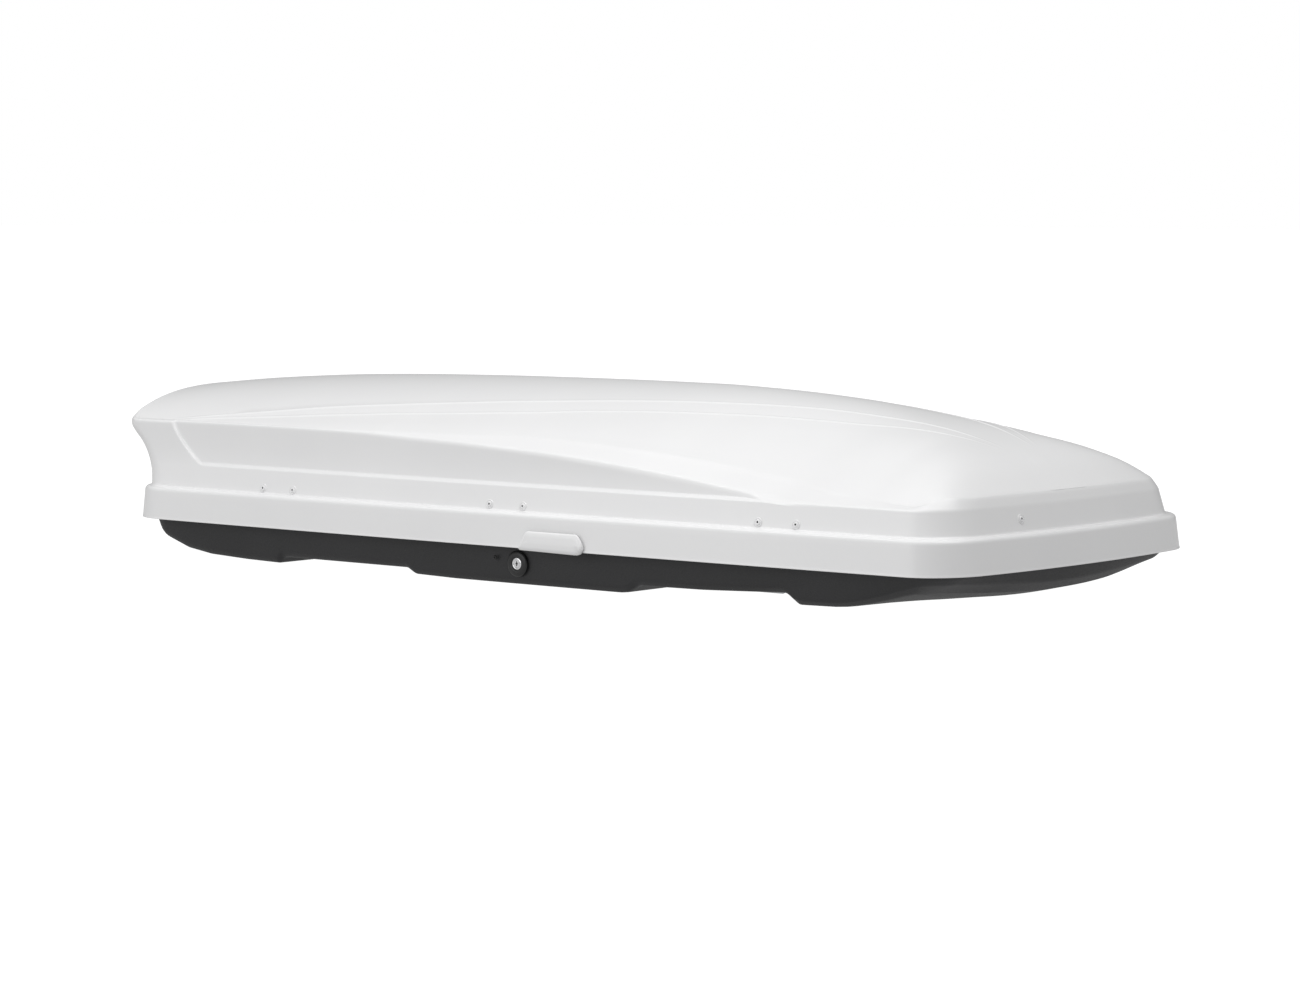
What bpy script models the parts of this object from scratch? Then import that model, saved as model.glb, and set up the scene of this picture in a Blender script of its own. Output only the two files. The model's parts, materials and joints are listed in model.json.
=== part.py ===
"""Roof cargo box: a hinged lid on a floor tray, with its lock, gas struts and roof-bar clamps.

Metres, +Z up. +X is the nose of the box, -Y the side that opens, +Y the hinge side.
The tray's lowest faces lie in z = 0 and the origin is under the middle of the box.
"""
from math import cos, pi, radians, sin, sqrt

import bmesh
import bpy
from mathutils import Matrix, Vector

# Plan of the lid's skirt
NOSE_X = 1.0218
REAR_X = -0.9782
HALF_WIDTH = 0.4065
SIDE_BOW, BOW_X = 0.0151, -0.058
NOSE_BOW, REAR_BOW = 0.032, 0.044
NOSE_ROUND_X, NOSE_ROUND_Y, REAR_ROUND = 0.0733, 0.0977, 0.0886
LID_TIGHTEN = 0.25         # share of the inset by which the lid's upper nose corners are tighter
TAIL = 0.0435              # how far the tail stands out behind the skirt

# Heights
SKIRT_Z = 0.070            # lower edge of the lid
SHOULDER_Z = SKIRT_Z + 0.0600
STRIP_Z = SHOULDER_Z + 0.0025
RIDGE_Z = SKIRT_Z + 0.104
RIM_Z = 0.118              # top of the tray's wall
LID_WALL, TRAY_WALL = 0.0035, 0.004
GAP = 0.0003               # between touching pieces
CLEAR = 0.0007             # between a moving piece and its hole

# Inset of each wall from the skirt's outline
STRIP_INSET = 0.0225
RIDGE_INSET = 0.0325
EDGE_INSET = 0.0445
TRAY_INSET = 0.030

# Heights along the lid, above the skirt's lower edge, as (x, height)
EDGE_HEIGHT = [(-0.96, 0.187), (-0.64, 0.1875), (-0.40, 0.186), (-0.21, 0.180), (-0.06, 0.175),
               (0.10, 0.167), (0.23, 0.1565), (0.41, 0.138), (0.56, 0.120), (0.66, 0.1085), (0.72, 0.1065)]
CROWN_HEIGHT = [(-1.022, 0.245), (-0.88, 0.258), (-0.66, 0.270), (-0.45, 0.276), (-0.24, 0.279),
                (0.0, 0.280), (0.20, 0.279), (0.33, 0.275), (0.51, 0.263), (0.69, 0.2385), (0.77, 0.2235),
                (0.85, 0.201), (0.92, 0.1705), (0.985, 0.122)]
FACET_HEIGHT = [(-0.30, 0.1855), (-0.1, 0.190), (0.03, 0.1915), (0.277, 0.1805), (0.435, 0.1669),
                (0.524, 0.1565), (0.627, 0.1441), (0.739, 0.1283), (0.85, 0.1160), (0.90, 0.1120)]
FACET_INSET = [(-0.30, 0.050), (-0.1, 0.060), (0.03, 0.075), (0.277, 0.080), (0.435, 0.083),
               (0.524, 0.088), (0.627, 0.084), (0.739, 0.062), (0.85, 0.053), (0.90, 0.052)]
CROWN_POWER = [(-1.0, 2.8), (-0.7, 2.1), (-0.2, 1.8), (0.3, 1.75), (0.6, 2.05), (0.8, 2.9), (0.88, 5.0),
               (0.94, 9.0)]

# Underside of the tray's floor on its centre line as (x, z), with raised zones where the roof bars cross
FLOOR = [(-0.900, 0.063), (-0.872, 0.036), (-0.802, 0.014), (-0.740, 0.0055), (-0.640, 0.0015),
         (-0.550, 0.0), (-0.538, 0.0125), (-0.217, 0.0125), (-0.197, 0.002), (-0.100, 0.0), (0.290, 0.0),
         (0.308, 0.002), (0.331, 0.015), (0.471, 0.0165), (0.648, 0.023), (0.672, 0.004),
         (0.786, 0.0055), (0.850, 0.0075), (0.900, 0.012), (0.965, 0.026)]
HULL_START, HULL_END = 0.74, 0.94    # where the floor under the nose begins and ends to turn into a hull
HULL_RISE, HULL_HALF = 0.026, 0.334  # how far the hull rises from the centre line to its half width
WAIST_Z = 0.066                      # above this height the tray's wall is almost upright

# Latches, lock and hinges
LATCH_X = (-0.535, 0.041, 0.643)
RIVET_STEP = 0.079
RIVET_Z = SKIRT_Z + 0.0715
RIVET_RADIUS = 0.0085
GRIP_X, GRIP_DEPTH = 0.16, 0.0085
GRIP_DROP, GRIP_RISE = 0.009, 0.031     # below and above the skirt's edge
LOCK_X, LOCK_Z = 0.063, 0.038
COVER_SCREW = (0.0115, 0.046)           # x and z on the tray's near wall
KEEPER_TOP, HINGE_TOP = 0.154, 0.152    # upper ends of the plates behind the lid's strip
LOCK_THROW = 0.014         # radius of the crank pin
RAIL_Y = -0.346            # inner face of the lock rail
BAR_Z = 0.090
HINGE_Y, HINGE_Z = 0.383, 0.082
KNUCKLE_RADIUS = 0.005
PIN_RADIUS = 0.0025

# Gas struts: the tray's stud, and the lid's stud while the lid is closed
STRUT_X = (-0.872, 0.925)
TRAY_STUD = (0.263, 0.070)
LID_STUD = (-0.159, 0.150)
STRUT_RADIUS, ROD_RADIUS = 0.009, 0.004
STRUT_FOOT_Z = {"rear": 0.0618, "nose": 0.0507}     # undersides of the tray brackets, just over the floor

# Roof-bar clamps
CLAMP_X = (-0.378, 0.490)
CLAMP_Y = (-0.205, 0.205)
BOLT_HALF, BOLT_RADIUS = 0.042, 0.0035
KNOB_RADIUS = 0.023

WHITE = (0.83, 0.83, 0.82, 1)
BLACK = (0.022, 0.022, 0.024, 1)
STEEL = (0.55, 0.56, 0.57, 1)
DARK_STEEL = (0.09, 0.09, 0.10, 1)
RED = (0.55, 0.02, 0.02, 1)


def clear_scene():
    for item in list(bpy.data.objects):
        bpy.data.objects.remove(item)


def make_collection(name):
    group = bpy.data.collections.new(name)
    bpy.context.scene.collection.children.link(group)
    return group


def material(name, colour, roughness, metallic=0.0):
    finish = bpy.data.materials.new(name)
    finish.use_nodes = True
    shader = finish.node_tree.nodes["Principled BSDF"]
    shader.inputs["Base Color"].default_value = colour
    shader.inputs["Roughness"].default_value = roughness
    shader.inputs["Metallic"].default_value = metallic
    return finish


def add(name, mesh, finish, parent=None):
    """Link a mesh as one named piece; its coordinates are already world coordinates."""
    mesh.name = name
    mesh.materials.clear()
    piece = bpy.data.objects.new(name, mesh)
    mesh.materials.append(material(name + "_finish", *finish))
    PARTS.objects.link(piece)
    if parent is not None:
        piece.parent = parent
        piece.matrix_parent_inverse = Matrix.Translation(-parent.location)
    return piece


def pivot(name, place):
    """An empty on a joint's axis, which the moving pieces hang from."""
    empty = bpy.data.objects.new(name, None)
    empty.location = place
    PARTS.objects.link(empty)
    return empty


def take_mesh(piece):
    """The evaluated mesh of a piece, which is then removed."""
    bpy.context.view_layer.update()
    graph = bpy.context.evaluated_depsgraph_get()
    mesh = bpy.data.meshes.new_from_object(piece.evaluated_get(graph))
    mesh.transform(piece.matrix_world)
    bpy.data.objects.remove(piece)
    return mesh


def block(low, high):
    """A box from its two corners."""
    shape = bmesh.new()
    bmesh.ops.create_cube(shape, size=1.0)
    size = Vector(high) - Vector(low)
    bmesh.ops.scale(shape, vec=size, verts=shape.verts)
    bmesh.ops.translate(shape, vec=(Vector(low) + Vector(high)) / 2, verts=shape.verts)
    mesh = bpy.data.meshes.new("block")
    shape.to_mesh(mesh)
    shape.free()
    return mesh


def rod(start, end, radius, sides=16):
    """A straight round bar between two points."""
    start, end = Vector(start), Vector(end)
    shape = bmesh.new()
    bmesh.ops.create_cone(shape, cap_ends=True, segments=sides, radius1=radius, radius2=radius,
                          depth=(end - start).length)
    turn = (end - start).to_track_quat("Z", "Y").to_matrix().to_4x4()
    bmesh.ops.transform(shape, matrix=Matrix.Translation((start + end) / 2) @ turn, verts=shape.verts)
    mesh = bpy.data.meshes.new("rod")
    shape.to_mesh(mesh)
    shape.free()
    return mesh


def turned(profile, place, direction, steps=20):
    """A turned solid: (radius, height) points down the outer side, about an axis through place."""
    mesh = bpy.data.meshes.new("profile")
    points = [(radius, 0.0, height) for radius, height in profile]
    mesh.from_pydata(points, [(i, i + 1) for i in range(len(points) - 1)], [])
    piece = bpy.data.objects.new("profile", mesh)
    PARTS.objects.link(piece)
    screw = piece.modifiers.new("turn", "SCREW")
    screw.axis = "Z"
    screw.steps = steps
    screw.render_steps = steps
    screw.use_merge_vertices = True
    screw.merge_threshold = 0.00001
    piece.rotation_mode = "QUATERNION"
    piece.rotation_quaternion = Vector(direction).to_track_quat("Z", "Y")
    piece.location = place
    solid = take_mesh(piece)
    smooth(solid)
    return solid


def outline(points, thickness, along, start):
    """A flat outline extruded along one axis: points are the other two coordinates."""
    curve = bpy.data.curves.new("outline", "CURVE")
    curve.dimensions = "2D"
    curve.fill_mode = "BOTH"
    curve.extrude = thickness / 2
    spline = curve.splines.new("POLY")
    spline.points.add(len(points) - 1)
    for point, (u, v) in zip(spline.points, points):
        point.co = (u, v, 0, 1)
    spline.use_cyclic_u = True
    piece = bpy.data.objects.new("outline", curve)
    PARTS.objects.link(piece)
    middle = start + thickness / 2
    columns = {"X": ((0, 1, 0), (0, 0, 1), (1, 0, 0)),
               "Y": ((1, 0, 0), (0, 0, 1), (0, -1, 0)),
               "Z": ((1, 0, 0), (0, 1, 0), (0, 0, 1))}[along]
    turn = Matrix(columns).transposed().to_4x4()
    shift = {"X": (middle, 0, 0), "Y": (0, middle, 0), "Z": (0, 0, middle)}[along]
    piece.matrix_world = Matrix.Translation(shift) @ turn
    solid = take_mesh(piece)
    return weld(solid)


def weld(mesh):
    shape = bmesh.new()
    shape.from_mesh(mesh)
    bmesh.ops.remove_doubles(shape, verts=shape.verts, dist=0.00002)
    bmesh.ops.recalc_face_normals(shape, faces=shape.faces)
    shape.to_mesh(mesh)
    shape.free()
    return mesh


def smooth(mesh, angle=35):
    mesh.shade_smooth()
    mesh.set_sharp_from_angle(angle=radians(angle))


def combine(base, others, operation):
    """Join meshes to a base mesh, or cut them from it, with exact Booleans."""
    piece = bpy.data.objects.new("base", base)
    PARTS.objects.link(piece)
    tools = []
    for mesh in others:
        tool = bpy.data.objects.new("cutter", mesh)
        tool.hide_render = True
        tool.display_type = "WIRE"
        CUTTERS.objects.link(tool)
        change = piece.modifiers.new("change", "BOOLEAN")
        change.operation = operation
        change.solver = "EXACT"
        change.object = tool
        tools.append(tool)
    solid = take_mesh(piece)
    for tool in tools:
        bpy.data.objects.remove(tool)
    return solid


def join(base, *others):
    return combine(base, others, "UNION")


def cut(base, *others):
    return combine(base, others, "DIFFERENCE")


def height(points, x):
    """A smooth curve through (x, height) points that never overshoots between them."""
    if x <= points[0][0]:
        return points[0][1]
    if x >= points[-1][0]:
        return points[-1][1]
    spot = max(i for i in range(len(points) - 1) if points[i][0] <= x)
    (x0, y0), (x1, y1) = points[spot], points[spot + 1]
    run = x1 - x0
    t = (x - x0) / run
    rise = (2 * t ** 3 - 3 * t ** 2 + 1) * y0 + (3 * t ** 2 - 2 * t ** 3) * y1
    lean0, lean1 = slope(points, spot) * run, slope(points, spot + 1) * run
    return rise + (t ** 3 - 2 * t ** 2 + t) * lean0 + (t ** 3 - t ** 2) * lean1


def slope(points, spot):
    last = len(points) - 1
    if spot in (0, last):
        a, b = (0, 1) if spot == 0 else (last - 1, last)
        return (points[b][1] - points[a][1]) / (points[b][0] - points[a][0])
    left = (points[spot][1] - points[spot - 1][1]) / (points[spot][0] - points[spot - 1][0])
    right = (points[spot + 1][1] - points[spot][1]) / (points[spot + 1][0] - points[spot][0])
    return 0.0 if left * right <= 0 else 2 * left * right / (left + right)


def side_y(x, inset=0.0):
    """y of the near side, an inset inside the skirt's outline."""
    return -(HALF_WIDTH - SIDE_BOW * (x - BOW_X) ** 2 - inset)


def nose_x(y, inset=0.0):
    return NOSE_X - NOSE_BOW * (y / HALF_WIDTH) ** 2 - inset


def rear_x(y, inset=0.0):
    return REAR_X + REAR_BOW * (y / HALF_WIDTH) ** 2 + inset


def corner(end_x, side, inset, round_x, round_y, turn):
    """A point on a rounded corner, where turn runs from 0 on the end wall to 1 on the side."""
    x, y = 0.9 if end_x is nose_x else -0.9, -0.3
    off_end = round_x * (1 - cos(turn * pi / 2))
    off_side = round_y * (1 - sin(turn * pi / 2))
    for _ in range(12):
        y = side_y(x, side + off_side)
        x = end_x(y, inset + off_end)
    return x, y


def plan(place, side, nose, rear, tighten=1.0):
    """A point of the near half's outline; place runs 0 rear centre, 1-2 rear corner, 2-3 side,
    3-4 nose corner, 5 nose centre. The nose corner's radius shrinks by the share tighten of the inset."""
    rear_round = max(REAR_ROUND - side, 0.02)
    round_x = max(NOSE_ROUND_X - tighten * side, 0.02)
    round_y = max(NOSE_ROUND_Y - tighten * side, 0.02)
    part = min(int(place), 4)
    t = place - part
    if part == 0:
        y = corner(rear_x, side, rear, rear_round, rear_round, 0)[1] * t
        return rear_x(y, rear), y
    if part == 1:
        return corner(rear_x, side, rear, rear_round, rear_round, t)
    if part == 2:
        start = corner(rear_x, side, rear, rear_round, rear_round, 1)[0]
        end = corner(nose_x, side, nose, round_x, round_y, 1)[0]
        x = start * (1 - t) + end * t
        return x, side_y(x, side)
    if part == 3:
        return corner(nose_x, side, nose, round_x, round_y, 1 - t)
    y = corner(nose_x, side, nose, round_x, round_y, 0)[1] * (1 - t)
    return nose_x(y, nose), y


def places(counts):
    """Places round the near half, with the given number of steps in each of the five stretches."""
    spots = [part + i / count for part, count in enumerate(counts) for i in range(count)]
    return spots + [5.0]


def deck_z(x, y):
    """Height of the lid's deck."""
    half = -side_y(x) - height(FACET_INSET, x)
    along = x + NOSE_BOW * (y / HALF_WIDTH) ** 2 * min(1, max(0, (x - 0.5) / 0.4))
    crown = height(CROWN_HEIGHT, along)
    edge = min(height(FACET_HEIGHT, x), crown)
    out = min(abs(y) / half, 1.0)
    return SKIRT_Z + crown - (crown - edge) * out ** height(CROWN_POWER, x)


def lid_ring(place, side, nose, rear, rule):
    x, y = plan(place, side, nose, rear, LID_TIGHTEN)
    return x, y, rule(x, y, place)


def lid_column(place):
    """The lid's outer points from the skirt's lower edge up to the deck's centre line."""
    def edge_z(x, y, place):
        arch = deck_z(x, y) - 0.012 if place < 2 else 0.0
        return max(SKIRT_Z + height(EDGE_HEIGHT, x), arch)

    def between(share):
        return lambda x, y, place: RIDGE_Z + 0.003 + share * (edge_z(x, y, place) - RIDGE_Z - 0.003)

    levels = [(0.0, 0.0, 0.0, lambda *_: SKIRT_Z),
              (0.007, 0.007, 0.007, lambda *_: SHOULDER_Z),
              (STRIP_INSET, STRIP_INSET, 0.020, lambda *_: STRIP_Z),
              (RIDGE_INSET, RIDGE_INSET, 0.015, lambda *_: RIDGE_Z),
              (RIDGE_INSET + 0.005, RIDGE_INSET + 0.004, 0.010, between(0.04)),
              (EDGE_INSET - 0.002, RIDGE_INSET + 0.008, -0.012, between(0.5)),
              (EDGE_INSET, EDGE_INSET, -TAIL, between(1.0))]
    column = [lid_ring(place, *level) for level in levels]
    x, y = plan(place, EDGE_INSET + 0.006, EDGE_INSET + 0.006, 0.012 - TAIL, LID_TIGHTEN)
    y = -min(-y, -side_y(x) - height(FACET_INSET, x))
    column.append((x, y, deck_z(x, y)))
    spine_x = -0.90 + 1.80 * place / 5
    for share in (0.25, 0.5, 0.75, 1.0):
        u, v = x + (spine_x - x) * share, y * (1 - share)
        column.append((u, v, deck_z(u, v)))
    return column


def tray_floor(x, y=0.0):
    """Height of the underside of the floor, in straight runs between its points, with the nose's hull."""
    start, end = FLOOR[0], FLOOR[-1]
    x = min(max(x, start[0]), end[0])
    for (x0, z0), (x1, z1) in zip(FLOOR, FLOOR[1:]):
        if x0 <= x <= x1:
            share = ease((x - HULL_START) / (HULL_END - HULL_START))
            return z0 + (z1 - z0) * (x - x0) / (x1 - x0) + HULL_RISE * share * (y / HULL_HALF) ** 2


def ease(t):
    """A smooth step from 0 to 1."""
    t = min(max(t, 0.0), 1.0)
    return t * t * (3 - 2 * t)


def half_loft(columns, thickness):
    """A shell from the near half's columns of points, mirrored and thickened inwards."""
    shape = bmesh.new()
    grid = [[shape.verts.new(point) for point in column] for column in columns]
    for left, right in zip(grid, grid[1:]):
        for i in range(len(left) - 1):
            shape.faces.new((left[i], right[i], right[i + 1], left[i + 1]))
    bmesh.ops.remove_doubles(shape, verts=shape.verts, dist=0.00005)
    mesh = bpy.data.meshes.new("shell")
    shape.to_mesh(mesh)
    shape.free()
    piece = bpy.data.objects.new("shell", mesh)
    PARTS.objects.link(piece)
    mirror = piece.modifiers.new("mirror", "MIRROR")
    mirror.use_axis = (False, True, False)
    mirror.use_clip = True
    mirror.merge_threshold = 0.0001
    solid = piece.modifiers.new("wall", "SOLIDIFY")
    solid.thickness = thickness
    solid.offset = -1
    shell = take_mesh(piece)
    smooth(shell, 25)
    return shell


def make_lid(parent):
    columns = [lid_column(place) for place in places((4, 4, 16, 4, 4))]
    shell = half_loft(columns, LID_WALL)
    add("lid_shell", shell, (WHITE, 0.32), parent)


def tray_column(place):
    """The tray's outer points from the centre line out along the floor and up to the rim."""
    round_share = max(0.0, 1.0 - ((place - 3.6) / 0.8) ** 2)
    nose_share = ease(place - 2.9)
    rim = plan(place, TRAY_INSET, TRAY_INSET, TRAY_INSET)
    waist = plan(place, TRAY_INSET + 0.002, TRAY_INSET + 0.002, TRAY_INSET + 0.003)
    chine = plan(place, TRAY_INSET + 0.004 + 0.012 * round_share, TRAY_INSET + 0.014 + 0.004 * round_share,
                 TRAY_INSET + 0.006)
    rise = 0.010 - 0.0045 * round_share + 0.004 * nose_share * (1 - round_share)
    column = [(*rim, RIM_Z), (*waist, WAIST_Z), (*chine, tray_floor(*chine) + rise)]
    x, y = plan(place, TRAY_INSET + 0.012 + 0.030 * round_share, TRAY_INSET + 0.040 + 0.020 * round_share,
                TRAY_INSET + 0.018)
    for share in (0.0, 0.25, 0.5, 0.75, 1.0):
        v = y * (1 - share)
        column.append((x, v, tray_floor(x, v)))
    return column[::-1]


def floor_places():
    """Places along the side that put a column on every fold of the floor, and the rounded ends."""
    side, nose, rear = TRAY_INSET + 0.012, TRAY_INSET + 0.040, TRAY_INSET + 0.018
    start, end = plan(2, side, nose, rear)[0], plan(3, side, nose, rear)[0]
    folds = [2 + (x - start) / (end - start) for x, _ in FLOOR if start + 0.01 < x < end - 0.01]
    ends = [i / 4 for i in range(9)] + [3 + i / 4 for i in range(9)]
    return sorted(ends + folds)


def clamp_spots():
    """Name and centre of each roof-bar clamp."""
    for end, x in zip(("rear", "front"), CLAMP_X):
        for side, y in zip(("near", "far"), CLAMP_Y):
            yield end + "_" + side, x, y


def make_tray():
    shell = half_loft([tray_column(place) for place in floor_places()], TRAY_WALL)
    drills = [rod((x + leg * BOLT_HALF, y, -0.01), (x + leg * BOLT_HALF, y, 0.05), BOLT_RADIUS + CLEAR, 12)
              for _, x, y in clamp_spots() for leg in (-1, 1)]
    wall = side_y(LOCK_X, TRAY_INSET)
    drills.append(rod((LOCK_X, wall - 0.02, LOCK_Z), (LOCK_X, wall + 0.02, LOCK_Z), 0.0152, 24))
    add("tray_shell", cut(shell, *drills), (BLACK, 0.55))


def make_rivet(name, place, direction, parent):
    """A capped rivet with a stepped, domed head and a blind centre hole."""
    profile = [(0.0, 0.0010), (0.0016, 0.0010), (0.0020, 0.0022), (0.0050, 0.0026), (0.0068, 0.0020),
               (RIVET_RADIUS, 0.0008), (RIVET_RADIUS, 0.0), (0.0, 0.0)]
    start = Vector(place) + Vector(direction) * GAP
    add(name, turned(profile, start, direction, 16), (WHITE, 0.35), parent)


def strip_lean():
    """The outward and upward shares of the strip wall's facing, where the rivets sit."""
    rise, run = RIDGE_Z - STRIP_Z, RIDGE_INSET - STRIP_INSET
    length = sqrt(rise ** 2 + run ** 2)
    return rise / length, run / length


def strip_inset(z):
    return STRIP_INSET + (RIDGE_INSET - STRIP_INSET) * (z - STRIP_Z) / (RIDGE_Z - STRIP_Z)


def make_rivets(parent):
    number = 0
    out, up = strip_lean()
    for x in LATCH_X:
        for way in (-0.5, 0.5):
            number += 1
            spot = x + way * RIVET_STEP
            y = side_y(spot, strip_inset(RIVET_Z))
            turn = 2 * SIDE_BOW * (spot - BOW_X)
            direction = Vector((turn * out, -out, up)).normalized()
            make_rivet("side_rivet_%d" % number, (spot, y, RIVET_Z), direction, parent)
    y, z = LID_STUD[0], SKIRT_Z + 0.084
    x = nose_x(y, strip_inset(z))
    direction = Vector((out, 2 * NOSE_BOW * y / HALF_WIDTH ** 2 * out, up)).normalized()
    make_rivet("nose_rivet", (x, y, z), direction, parent)


def make_grip(parent):
    """The moulded hand grip on the skirt, which reaches a little below its edge."""
    low, high = SKIRT_Z - GRIP_DROP, SKIRT_Z + GRIP_RISE
    points = [(0.098, low), (0.234, low), (0.247, low + 0.006), (0.2475, low + 0.019),
              (0.236, high - 0.004), (0.228, high), (0.112, high), (0.104, high - 0.004),
              (0.0905, low + 0.006)]
    face = side_y(GRIP_X, 0.0)
    add("lid_grip", outline(points, GRIP_DEPTH, "Y", face - GRIP_DEPTH - 0.001), (WHITE, 0.3), parent)


def make_hinges(lid):
    """Three hinges on the far side: a block on the tray's wall, a leaf up to the lid's strip, a pin."""
    for number, x in enumerate(LATCH_X, 1):
        name = "hinge_%d_" % number
        ends = (x - 0.052, x + 0.052)
        wall = max(-side_y(end, TRAY_INSET - 0.0002) for end in ends) + 2 * GAP
        body = block((ends[0], wall, 0.0715), (ends[1], HINGE_Y - 0.001, HINGE_Z + 0.002))
        knuckles = [rod((ends[0], HINGE_Y, HINGE_Z), (x - 0.018, HINGE_Y, HINGE_Z), KNUCKLE_RADIUS),
                    rod((x + 0.018, HINGE_Y, HINGE_Z), (ends[1], HINGE_Y, HINGE_Z), KNUCKLE_RADIUS)]
        base = join(body, *knuckles)
        gap = block((x - 0.018, HINGE_Y - 0.03, HINGE_Z - KNUCKLE_RADIUS - CLEAR), (x + 0.018, 0.40, 0.10))
        bore = rod((x - 0.06, HINGE_Y, HINGE_Z), (x + 0.06, HINGE_Y, HINGE_Z), PIN_RADIUS + GAP)
        add(name + "base", cut(base, gap, bore), (DARK_STEEL, 0.4, 1.0))
        top = HINGE_TOP
        strip = -side_y(x, strip_inset(top) + LID_WALL + 0.0009)
        leaf = outline([(HINGE_Y - 0.0012, HINGE_Z), (HINGE_Y + 0.0012, HINGE_Z), (HINGE_Y + 0.0012, 0.111),
                        (strip, 0.1265), (strip, top), (strip - 0.0024, top), (strip - 0.0024, 0.1258),
                        (HINGE_Y - 0.0012, 0.1105)], 0.035, "X", x - 0.0175)
        barrel = rod((x - 0.0175, HINGE_Y, HINGE_Z), (x + 0.0175, HINGE_Y, HINGE_Z), KNUCKLE_RADIUS)
        add(name + "leaf", cut(join(leaf, barrel), bore.copy()), (DARK_STEEL, 0.4, 1.0), lid)
        pin = rod((ends[0] - 0.002, HINGE_Y, HINGE_Z), (ends[1] + 0.002, HINGE_Y, HINGE_Z), PIN_RADIUS, 12)
        add(name + "pin", pin, (STEEL, 0.3, 1.0))


def make_latches(lid, slide):
    """The lock rail on the tray, the sliding bar with its hooks, and the lid's keeper loops."""
    ends = (-0.64, 0.74)
    rail = block((ends[0], RAIL_Y - 0.003, 0.062), (ends[1], RAIL_Y, 0.116))
    mounts = []
    for x in LATCH_X:
        wall = max(side_y(x + way * 0.03, TRAY_INSET + TRAY_WALL + 0.0026) for way in (-1, 1))
        mounts.append(block((x - 0.03, wall, 0.075), (x + 0.03, RAIL_Y - 0.001, 0.108)))
    window = block((LOCK_X - 0.035, RAIL_Y - 0.01, 0.05), (LOCK_X + 0.035, RAIL_Y + 0.01, 0.0735))
    add("lock_rail", cut(join(rail, *mounts), window), (STEEL, 0.35, 1.0))

    near = RAIL_Y + GAP
    bar = block((ends[0] + 0.02, near, BAR_Z - 0.011), (ends[1] - 0.03, near + 0.0035, BAR_Z + 0.011))
    pin_x = LOCK_X - LOCK_THROW * sin(radians(45))
    fork = block((pin_x - 0.009, near, 0.043), (pin_x + 0.009, near + 0.0035, BAR_Z))
    slot = block((pin_x - 0.0037, near - 0.01, 0.0445), (pin_x + 0.0037, near + 0.01, 0.058))
    add("lock_bar", cut(join(bar, fork), slot), (STEEL, 0.35, 1.0), slide)

    for number, x in enumerate(LATCH_X, 1):
        tip = x - 0.007
        inner = near + 0.0035 + GAP
        foot = block((tip - 0.060, inner, BAR_Z - 0.010), (tip - 0.028, inner + 0.0055, BAR_Z + 0.010))
        tongue = block((tip - 0.050, inner + 0.0045, BAR_Z - 0.004), (tip, inner + 0.0125, BAR_Z + 0.004))
        add("lock_hook_%d" % number, join(foot, tongue), (DARK_STEEL, 0.4, 1.0), slide)
        make_keeper(number, x, inner, lid)


def make_keeper(number, x, inner, lid):
    """A plate behind the rivets with a loop hanging inside the tray's rim, round the hook's path."""
    top = KEEPER_TOP
    strip = max(side_y(x + way * 0.05, strip_inset(top) + LID_WALL + 0.0009) for way in (-1, 1))
    plate = block((x - 0.05, strip, 0.128), (x + 0.05, strip + 0.003, top))
    arm = block((x - 0.004, strip + 0.001, 0.128), (x + 0.004, inner + 0.018, 0.134))
    back = inner + 0.0005
    loop = block((x - 0.004, back - 0.0002, BAR_Z - 0.0125), (x + 0.004, back + 0.0175, 0.130))
    hole = block((x - 0.01, back + 0.0028, BAR_Z - 0.0065), (x + 0.01, back + 0.0145, BAR_Z + 0.016))
    add("keeper_%d" % number, cut(join(plate, arm, loop), hole), (STEEL, 0.35, 1.0), lid)


def make_lock(turn):
    """The lock: a fixed surround through the tray's wall, the turning barrel and its crank."""
    wall = side_y(LOCK_X, TRAY_INSET)
    out = (0, -1, 0)
    ring = [(0.0112, 0.0035), (0.0165, 0.0048), (0.0225, 0.0030), (0.0235, 0.0014), (0.0235, 0.0008),
            (0.0140, 0.0008), (0.0140, -0.0150), (0.0112, -0.0150), (0.0112, 0.0035)]
    add("lock_surround", turned(ring, (LOCK_X, wall, LOCK_Z), out, 32), (BLACK, 0.4))
    barrel = [(0.0, 0.0030), (0.0098, 0.0030), (0.0105, 0.0022), (0.0105, -0.0170), (0.0, -0.0170)]
    keyway = block((LOCK_X - 0.0011, wall - 0.01, LOCK_Z - 0.0045),
                   (LOCK_X + 0.0011, wall + 0.004, LOCK_Z + 0.0045))
    solid = cut(turned(barrel, (LOCK_X, wall, LOCK_Z), out, 32), keyway)
    add("lock_barrel", solid, (STEEL, 0.15, 1.0), turn)
    back = wall + 0.0170 + GAP
    pin = Vector((LOCK_X - LOCK_THROW * sin(radians(45)), 0, LOCK_Z + LOCK_THROW * cos(radians(45))))
    disc = rod((LOCK_X, back, LOCK_Z), (LOCK_X, back + 0.004, LOCK_Z), 0.009, 20)
    arm_end = rod((pin.x, back, pin.z), (pin.x, back + 0.004, pin.z), 0.005, 16)
    arm = block((-0.0045, back, 0.0), (0.0045, back + 0.004, LOCK_THROW))
    arm.transform(Matrix.Translation((LOCK_X, 0, LOCK_Z)) @ Matrix.Rotation(radians(-45), 4, "Y"))
    crank_pin = rod((pin.x, back + 0.002, pin.z), (pin.x, RAIL_Y + 0.005, pin.z), 0.003, 14)
    add("lock_crank", join(disc, arm, arm_end, crank_pin), (DARK_STEEL, 0.4, 1.0), turn)
    x, z = COVER_SCREW
    wall = side_y(x, TRAY_INSET)
    screw = [(0.0, 0.0022), (0.0030, 0.0020), (0.0042, 0.0010), (0.0042, 0.0), (0.0, 0.0)]
    add("cover_screw", turned(screw, (x, wall - 0.0022, z), out, 16), (DARK_STEEL, 0.35, 1.0))


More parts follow.
